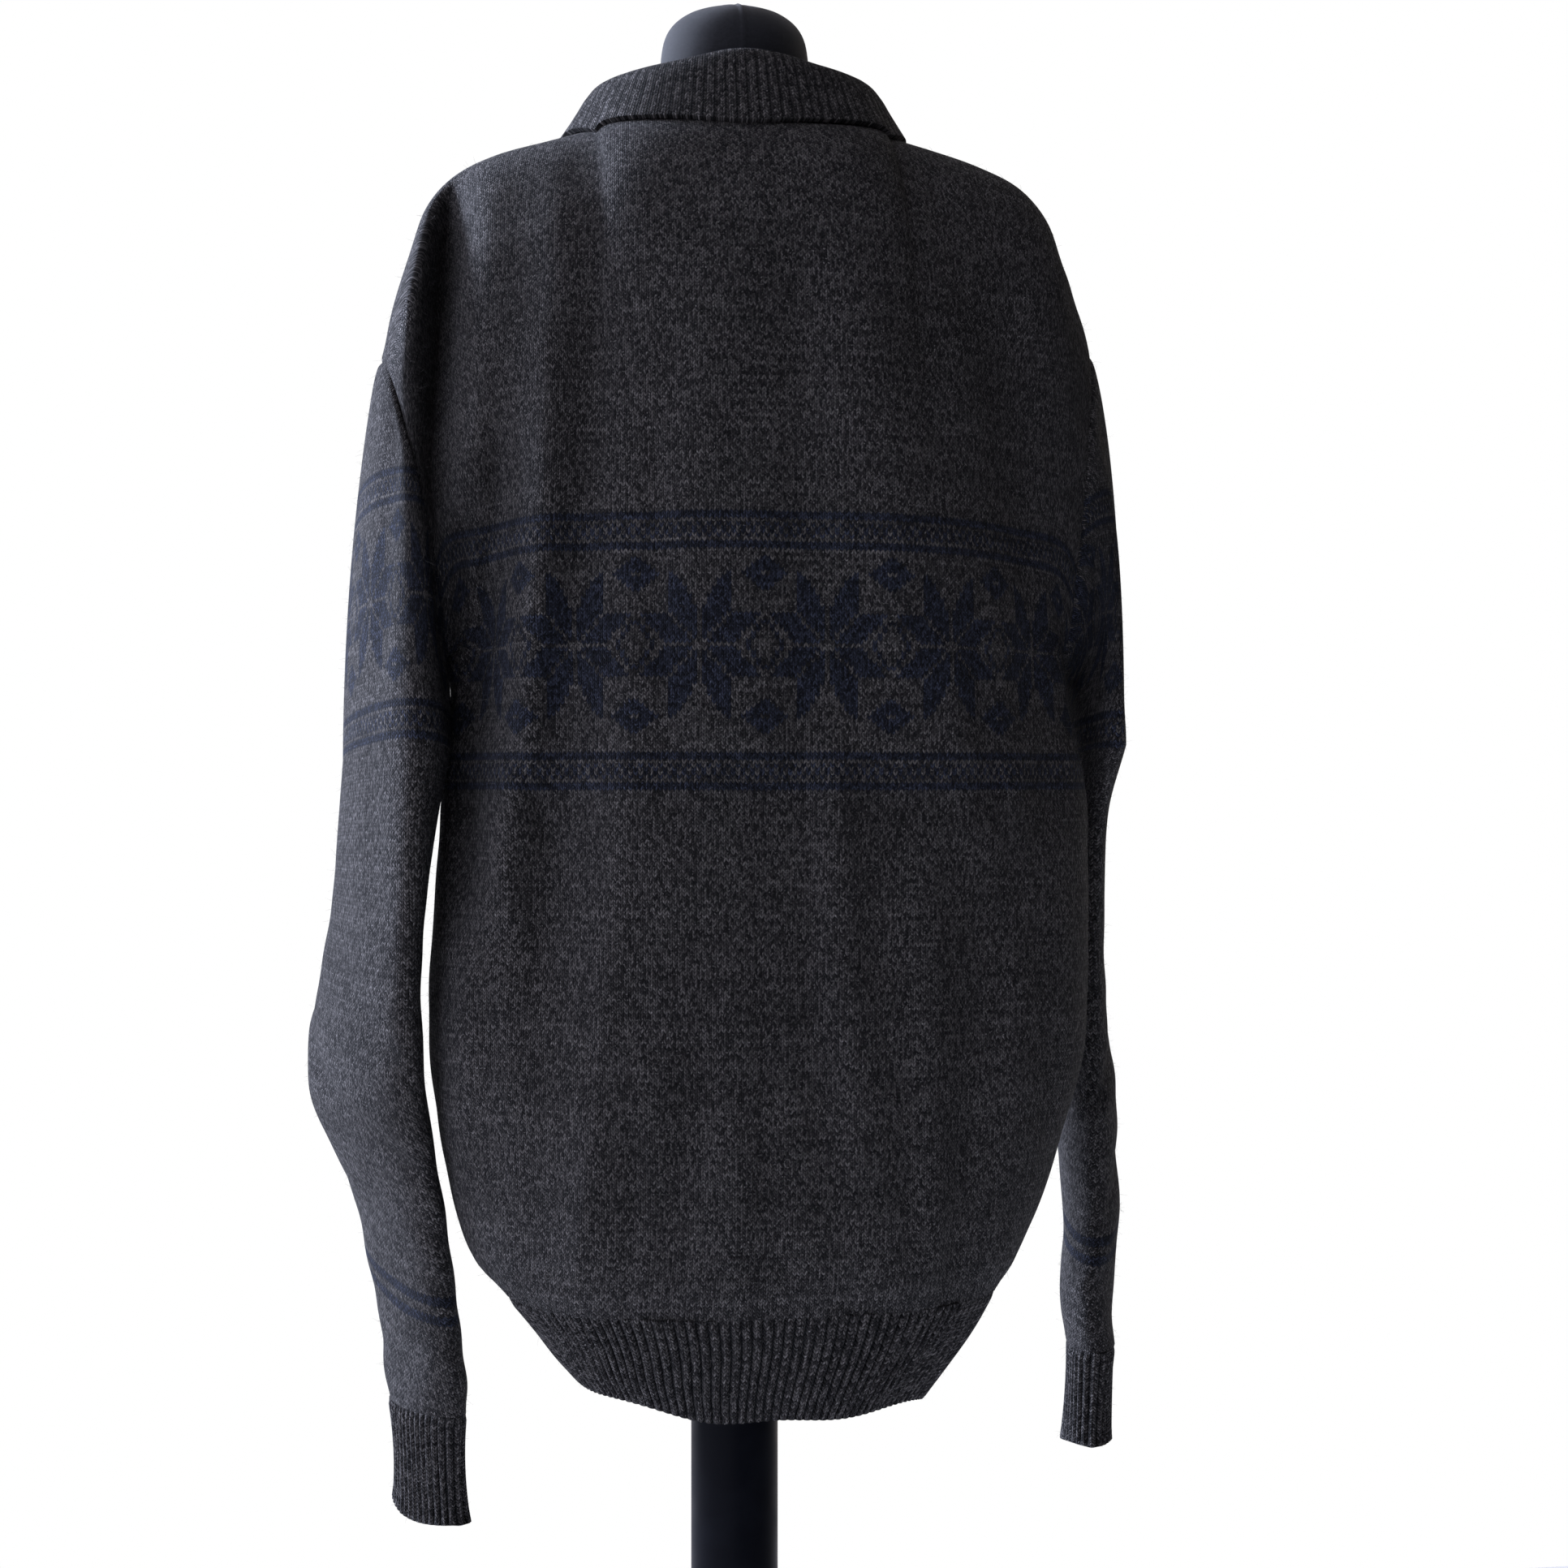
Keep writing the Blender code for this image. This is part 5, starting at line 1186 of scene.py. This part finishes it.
class Graph:
    """Short calls for the math nodes of one material, or of the world."""

    def __init__(self, owner, shader="Principled BSDF"):
        owner.use_nodes = True
        self.tree = owner.node_tree
        self.shader = self.tree.nodes[shader]

    def put(self, socket, value):
        if isinstance(value, bpy.types.NodeSocket):
            self.tree.links.new(value, socket)
        else:
            socket.default_value = value

    def math(self, operation, *values):
        node = self.tree.nodes.new("ShaderNodeMath")
        node.operation = operation
        for socket, value in zip(node.inputs, values):
            self.put(socket, value)
        return node.outputs[0]

    def add(self, a, b):
        return self.math("ADD", a, b)

    def less(self, a, b):
        return self.math("SUBTRACT", a, b)

    def times(self, a, b):
        return self.math("MULTIPLY", a, b)

    def near(self, value, wanted, reach=0.5):
        return self.math("COMPARE", value, wanted, reach)

    def either(self, a, b):
        return self.math("MAXIMUM", a, b)

    def size(self, value):
        return self.math("ABSOLUTE", value)

    def round_off(self, value):
        """Height of a round thread, 1 at its middle and 0 one radius away."""
        return self.math("SQRT", self.either(self.less(1.0, self.times(value, value)), 0.0))

    def look(self, **values):
        """Sets inputs of the shader, whose names are written with _ for a space."""
        for name, value in values.items():
            self.put(self.shader.inputs[name.replace("_", " ")], value)

    def object_place(self):
        return self.tree.nodes.new("ShaderNodeTexCoord").outputs["Object"]

    def vector(self, x, y, z=0.0):
        node = self.tree.nodes.new("ShaderNodeCombineXYZ")
        for socket, value in zip(node.inputs, (x, y, z)):
            self.put(socket, value)
        return node.outputs[0]

    def noise(self, vector, scale, detail=2.0):
        node = self.tree.nodes.new("ShaderNodeTexNoise")
        self.put(node.inputs["Vector"], vector)
        node.inputs["Scale"].default_value = scale
        node.inputs["Detail"].default_value = detail
        return node.outputs["Fac"]

    def chance(self, vector):
        node = self.tree.nodes.new("ShaderNodeTexWhiteNoise")
        self.put(node.inputs["Vector"], vector)
        return node.outputs["Value"]

    def mix(self, share, a, b):
        node = self.tree.nodes.new("ShaderNodeMix")
        node.data_type = "RGBA"
        self.put(node.inputs[0], share)
        self.put(node.inputs[6], a)
        self.put(node.inputs[7], b)
        return node.outputs[2]

    def tint(self, colour, factor):
        node = self.tree.nodes.new("ShaderNodeVectorMath")
        node.operation = "SCALE"
        self.put(node.inputs[0], colour)
        self.put(node.inputs["Scale"], factor)
        return node.outputs[0]

    def product(self, a, b):
        node = self.tree.nodes.new("ShaderNodeVectorMath")
        node.operation = "MULTIPLY"
        self.put(node.inputs[0], a)
        self.put(node.inputs[1], b)
        return node.outputs[0]

    def ramp(self, value, low, high, to_low, to_high):
        node = self.tree.nodes.new("ShaderNodeMapRange")
        for socket, amount in zip(node.inputs, (value, low, high, to_low, to_high)):
            self.put(socket, amount)
        return node.outputs[0]

    def bump(self, height, distance, strength=1.0):
        node = self.tree.nodes.new("ShaderNodeBump")
        node.inputs["Strength"].default_value = strength
        node.inputs["Distance"].default_value = distance
        self.put(node.inputs["Height"], height)
        self.tree.links.new(node.outputs["Normal"], self.shader.inputs["Normal"])

    def stitches(self):
        """(UV map's u and v, wale, course, height of the yarn) of the stitches."""
        uv = self.tree.nodes.new("ShaderNodeUVMap")
        uv.uv_map = "stitch"
        split = self.tree.nodes.new("ShaderNodeSeparateXYZ")
        self.tree.links.new(uv.outputs[0], split.inputs[0])
        u, v = split.outputs[0], split.outputs[1]
        wale = self.math("FLOOR", u)
        out = self.size(self.less(self.less(u, wale), 0.5))
        slanted = self.less(v, self.times(out, 1.5))
        course = self.math("FLOOR", slanted)
        phase = self.less(slanted, course)
        leg = self.round_off(self.times(self.less(out, 0.25), 3.6))
        strand = self.round_off(self.less(self.times(phase, 2.0), 1.0))
        return u, v, wale, course, self.times(leg, strand)


def chart_mask(g, wale, course):
    """1 on the stitches that are knitted in navy: the star band and its borders."""
    row = g.size(g.less(course, float(STAR_ROW)))
    place = g.size(g.less(g.math("FLOORED_MODULO", wale, float(STAR_REPEAT)), STAR_MIDDLE))
    code = 0.0
    for number, line in enumerate(STAR_CHART):
        bits = float(sum(1 << n for n, mark in enumerate(line) if mark == "#"))
        code = g.math("MULTIPLY_ADD", g.near(row, float(number)), bits, code)
    shifted = g.math("FLOOR", g.math("DIVIDE", code, g.math("POWER", 2.0, place)))
    mask = g.math("FLOORED_MODULO", shifted, 2.0)
    odd = g.math("FLOORED_MODULO", wale, 2.0)
    for foot in BORDER_ROWS:
        for line in BORDER_LINES:
            mask = g.either(mask, g.near(course, foot + line, TWO_ROWS))
        for dots in BORDER_DOTS:
            mask = g.either(mask, g.times(g.near(course, foot + dots), odd))
        between = g.near(course, foot + BORDER_GAP_DOTS, TWO_ROWS)
        mask = g.either(mask, g.times(between, g.less(1.0, odd)))
    return mask


def knit_material(name, band=False, lines=(), ribbed=False):
    """Knitted wool: V stitches in relief, heathered yarn, light fibres and the charted navy bands, with
    painted shade in the gaps between the loops, a painted highlight on the middle of the yarn and, on
    ribs, painted shade in the furrows.
    """
    material = bpy.data.materials.new(name)
    g = Graph(material)
    u, v, wale, course, height = g.stitches()
    fibres, heather, mottle = (
        g.noise(g.vector(g.times(u, rates[0]), g.times(v, rates[1])), 1.0, detail)
        for rates, detail in ((FIBRE_RATES, 3.0), (HEATHER_RATES, 2.0), (MOTTLE_RATES, 4.0))
    )
    chance = g.chance(g.vector(g.math("FLOOR", g.times(u, 2.0)), course))
    colour = g.mix(g.times(chance, g.ramp(chance, *YARN_LIGHTNESS)), DARK_WOOL, LIGHT_WOOL)
    colour = g.mix(g.ramp(fibres, *FIBRE_SHARE), colour, FIBRE_WOOL)
    mask = chart_mask(g, wale, course) if band else 0.0
    for line in lines:
        mask = g.either(mask, g.near(course, line, CUFF_LINE_REACH))
    if band or lines:
        colour = g.mix(mask, colour, g.product(colour, NAVY_TINT))
    # Painted shade in the gaps between the loops and a painted highlight on the yarn's middle, times the
    # yarn's own uneven tone
    shade = g.times(g.ramp(height, *LOOP_PAINTED_SHADE_AND_HIGHLIGHT), g.ramp(mottle, *MOTTLE_SHADE))
    shade = g.times(shade, g.ramp(heather, *HEATHER_SHADE))
    shade = g.times(shade, g.ramp(g.chance(g.vector(0.0, course)), *COURSE_SHADE))
    # Painted shade in the furrows between the ribs
    if ribbed:
        back = g.size(g.less(g.math("FLOORED_MODULO", u, 2.0), 1.0))
        shade = g.times(shade, g.ramp(back, *FURROW_PAINTED_SHADE))
    g.look(Base_Color=g.tint(colour, shade), Roughness=g.ramp(height, *WOOL_DULLNESS))
    g.look(Specular_IOR_Level=0.10, Sheen_Weight=0.05, Sheen_Roughness=0.45, Sheen_Tint=WOOL_SHEEN)
    g.bump(g.add(height, g.times(fibres, FIBRE_RELIEF)), KNIT_RELIEF)
    return material


def jersey_material():
    """Fine black jersey, with painted shade between its stitches and a slight painted highlight on their
    middles.
    """
    material = bpy.data.materials.new("form_jersey_look")
    g = Graph(material)
    _, _, wale, course, height = g.stitches()
    colour = g.mix(g.chance(g.vector(wale, course)), *JERSEY_COLOURS)
    # Painted shade between the stitches and a slight painted highlight on their middles
    g.look(Base_Color=g.tint(colour, g.ramp(height, 0.0, 1.0, 0.6, 1.1)))
    g.look(Roughness=g.ramp(height, 0.0, 1.0, 0.95, 0.78), Specular_IOR_Level=0.25, Sheen_Weight=0.12)
    g.bump(height, 0.0003, 0.5)
    return material


def cloudy_material(name, scale, detail, colours, dullness, patches=None, relief=None):
    """A material with cloudy patches of two colours and of two degrees of dullness."""
    material = bpy.data.materials.new(name)
    g = Graph(material)
    cloud = g.noise(g.object_place(), scale, detail)
    share = cloud if patches is None else g.ramp(cloud, *patches, 0.0, 1.0)
    g.look(Base_Color=g.mix(share, *colours), Roughness=g.ramp(cloud, 0.3, 0.7, *dullness))
    if relief is not None:
        g.bump(cloud, *relief)
    return material


def painted_material():
    """Satin black paint with fine orange peel and a few dull marks."""
    material = bpy.data.materials.new("stand_paint")
    g = Graph(material)
    place = g.object_place()
    peel = g.noise(place, 900.0, 2.0)
    marks = g.noise(place, 35.0, 5.0)
    g.look(Base_Color=g.mix(g.ramp(marks, 0.45, 0.75, 0.0, 1.0), *PAINT_COLOURS))
    g.look(Roughness=g.ramp(marks, 0.3, 0.8, 0.36, 0.55), Specular_IOR_Level=0.05)
    g.bump(peel, 0.00008, 0.4)
    return material


def make_fuzz(name, objects, count, material):
    """Short curved hairs that stand out of the outer side of the cloth."""
    chance = np.random.default_rng(HAIR_SEED)
    points, faces = [], []
    for obj in objects:
        mesh = obj.data
        corners = np.array([face.vertices[:] for face in mesh.polygons if len(face.vertices) == 4])
        corners = corners[: len(corners) // 2]
        places = np.array([vertex.co[:] for vertex in mesh.vertices])[corners]
        across = np.cross(places[:, 2] - places[:, 0], places[:, 3] - places[:, 1])
        area = np.linalg.norm(across, axis=1)
        picked = chance.choice(len(corners), int(count[obj.name]), p=area / area.sum())
        normal = across[picked] / area[picked][:, None]
        start = places[picked].mean(axis=1)
        wander = chance.normal(size=(len(picked), 3))
        along = normal * HAIR_SPREAD + wander * HAIR_SPREAD + np.array((0, 0, -HAIR_SAG))
        along /= np.linalg.norm(along, axis=1, keepdims=True)
        inward = (along * normal).sum(axis=1) < HAIR_LEAST_OUTWARD
        along[inward] += normal[inward] * HAIR_OUTWARD
        bend = chance.normal(size=(len(picked), 3)) * HAIR_BEND
        side = np.cross(along, chance.normal(size=(len(picked), 3)))
        side /= np.linalg.norm(side, axis=1, keepdims=True)
        length = chance.uniform(*HAIR_LENGTHS, len(picked))
        for n in range(len(picked)):
            first = len(points)
            for step in range(HAIR_STEPS + 1):
                t = step / HAIR_STEPS
                place = start[n] + (along[n] * t + bend[n] * t * t * 0.5) * length[n]
                half = side[n] * HAIR_WIDTH * (0.5 - HAIR_TAPER * t)
                points += [place - half, place + half]
            for low in range(first, first + 2 * HAIR_STEPS, 2):
                faces.append([low, low + 1, low + 3, low + 2])
    return add_mesh(name, points, faces, None, material)


def make_stage():
    """Pale floor, surroundings that look white, and a soft light from the wearer's left."""
    mesh = bpy.data.meshes.new("floor")
    ends = ((-1, -1), (1, -1), (1, 1), (-1, 1))
    corners = [(x * FLOOR_HALF_SIZE, y * FLOOR_HALF_SIZE, FLOOR_DROP) for x, y in ends]
    mesh.from_pydata(corners, [], [[0, 1, 2, 3]])
    mesh.materials.append(cloudy_material("floor_look", 40.0, 4.0, FLOOR_COLOURS, (0.75, 0.9)))
    floor = bpy.data.objects.new("floor", mesh)
    bpy.context.scene.collection.objects.link(floor)

    # The camera sees white all round; the cloth is lit more from the wearer's left and from behind
    world = bpy.data.worlds.new("studio")
    g = Graph(world, "Background")
    split = g.tree.nodes.new("ShaderNodeSeparateXYZ")
    g.tree.links.new(g.tree.nodes.new("ShaderNodeTexCoord").outputs["Generated"], split.inputs[0])
    across, along = split.outputs[0], split.outputs[1]
    fill = g.ramp(along, *FRONT_TO_BACK, g.ramp(across, *SIDE_FILL))
    fill.node.interpolation_type = "SMOOTHSTEP"
    tint = g.mix(g.ramp(across, *SIDE_TINT), WARM_FILL, COOL_FILL)
    seen = g.tree.nodes.new("ShaderNodeLightPath").outputs["Is Camera Ray"]
    g.look(Strength=g.add(fill, g.times(seen, g.less(1.0, fill))), Color=g.mix(seen, tint, WHITE))
    bpy.context.scene.world = world
    bpy.context.scene.view_settings.view_transform = "Standard"

    data = bpy.data.lights.new("key", "AREA")
    data.size = KEY_SIZE
    data.energy = KEY_POWER
    data.color = KEY_COLOUR
    light = bpy.data.objects.new("key", data)
    light.location = KEY_PLACE
    light.rotation_euler = (Vector(KEY_TARGET) - Vector(KEY_PLACE)).to_track_quat("-Z", "Y").to_euler()
    bpy.context.scene.collection.objects.link(light)


def make_camera():
    """The photograph's view: level, from behind and a little to the wearer's left."""
    toward = Vector(CAMERA_SIDE).normalized()
    right = Vector((-toward.y, toward.x, 0.0))
    data = bpy.data.cameras.new("camera")
    data.sensor_width = SENSOR_WIDTH
    data.lens = SENSOR_WIDTH * FOCAL_PIXELS / PICTURE_PIXELS
    camera = bpy.data.objects.new("camera", data)
    camera.location = toward * CAMERA_DISTANCE + Vector((0, 0, CAMERA_HEIGHT))
    aim = -toward + right * (AIM_PIXELS / FOCAL_PIXELS)
    camera.rotation_euler = aim.to_track_quat("-Z", "Y").to_euler()
    bpy.context.scene.collection.objects.link(camera)
    bpy.context.scene.camera = camera


def dress():
    """All the visible pieces; the solids that they stand in for are hidden."""
    plain = knit_material("wool_panel_look", band=True)
    sleeve_wool = knit_material("wool_sleeve_look", band=True, lines=CUFF_LINES)
    rib = knit_material("wool_rib_look", ribbed=True)
    flat_rib = knit_material("wool_placket_look")
    hair_look = cloudy_material("loose_fibre_look", 300.0, 2.0, HAIR_COLOURS, (0.6, 0.9))
    thread = cloudy_material(
        "thread_look", 2600.0, 2.0, THREAD_COLOURS, (0.7, 0.95), relief=(0.0001, 0.6)
    )
    button_look = cloudy_material(
        "button_look", 260.0, 5.0, BUTTON_COLOURS, (0.26, 0.44), (0.40, 0.65), (0.00005, 0.4)
    )
    paint = painted_material()

    panels = {}
    for face, name, node in ((BACK, "back_knit", "back_panel"), (FRONT, "front_knit", "front_panel")):
        points, normals, uv = panel_surface(face)
        obj = shell(name, points, normals, uv, plain, CLOTH, -1 if face == BACK else 1)
        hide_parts(node)
        panels[face] = obj

    for side, name in ((LEFT, "left"), (RIGHT, "right")):
        points, normals, uv = sleeve_surface(side)
        facing = 1 if side == RIGHT else -1
        obj = shell(f"sleeve_{name}_knit", points, normals, uv, sleeve_wool, CLOTH, facing, True)
        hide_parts(f"sleeve_{name}")
        top = SLEEVE_SECTIONS[side][-1][0]
        ring_at = partial(cuff_ring, side)
        cuff = rib_band(
            f"cuff_{name}_knit", top, top - CUFF_LENGTH, CUFF_ROWS, ring_at, CUFF_RIBS, cuff_drop, rib
        )
        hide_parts(f"cuff_{name}")

    hem = rib_band("hem_knit", RIB_HEIGHT, HEM_HEIGHT, HEM_ROWS, body_ring, HEM_RIBS, hem_drop, rib)
    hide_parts("hem_rib")

    collar = make_collar(cloth_under(list(panels.values())), rib)
    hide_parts("collar")

    under, _, _ = make_placket("placket_under_knit", 0.0, CLOTH, flat_rib, False)
    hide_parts("placket_under")
    lift = CLOTH / 2 + 2 * TOUCH_GAP + PLACKET_CLOTH / 2
    over, line, normals = make_placket("placket_over_knit", lift, PLACKET_CLOTH, flat_rib, True)
    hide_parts("placket_over")
    line, normals = line[::-1], normals[::-1]
    way = way_along(line)
    for number, drop in enumerate(BUTTON_DROPS, start=1):
        place = np.array([np.interp(drop, way, line[:, axis]) for axis in range(3)])
        normal = np.array([np.interp(drop, way, normals[:, axis]) for axis in range(3)])
        normal /= np.linalg.norm(normal)
        seat = place + normal * (CLOTH / 2 + PLACKET_CLOTH + 4 * TOUCH_GAP)
        button, sewn = make_button(f"button_{number}_look", seat, normal, button_look, thread)
        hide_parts(f"button_{number}")

    woollen = [bpy.data.objects[piece] for piece in HAIRS]
    fuzz = make_fuzz("loose_fibres", woollen, HAIRS, hair_look)

    cover = make_form_cover(jersey_material())
    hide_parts("form_torso")
    pole_ends = [(POLE_RADIUS, BASE_HEIGHT), (POLE_RADIUS, POLE_TOP)]
    pole = turned("pole_look", pole_ends, POLE_SIDES, paint)
    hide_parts("form_pole")
    profile = [(BASE_RADIUS - BASE_FOOT, 0.0), (BASE_RADIUS, BASE_FOOT_HEIGHT)]
    for angle in np.linspace(math.pi / 2, 0, 8):
        radius = BASE_RADIUS - BASE_ROUND + BASE_ROUND * math.sin(angle)
        profile.append((radius, BASE_HEIGHT - BASE_ROUND + BASE_ROUND * math.cos(angle)))
    base = turned("base_look", profile, BASE_SIDES, paint)
    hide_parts("form_base")


make_camera()
dress()
make_stage()
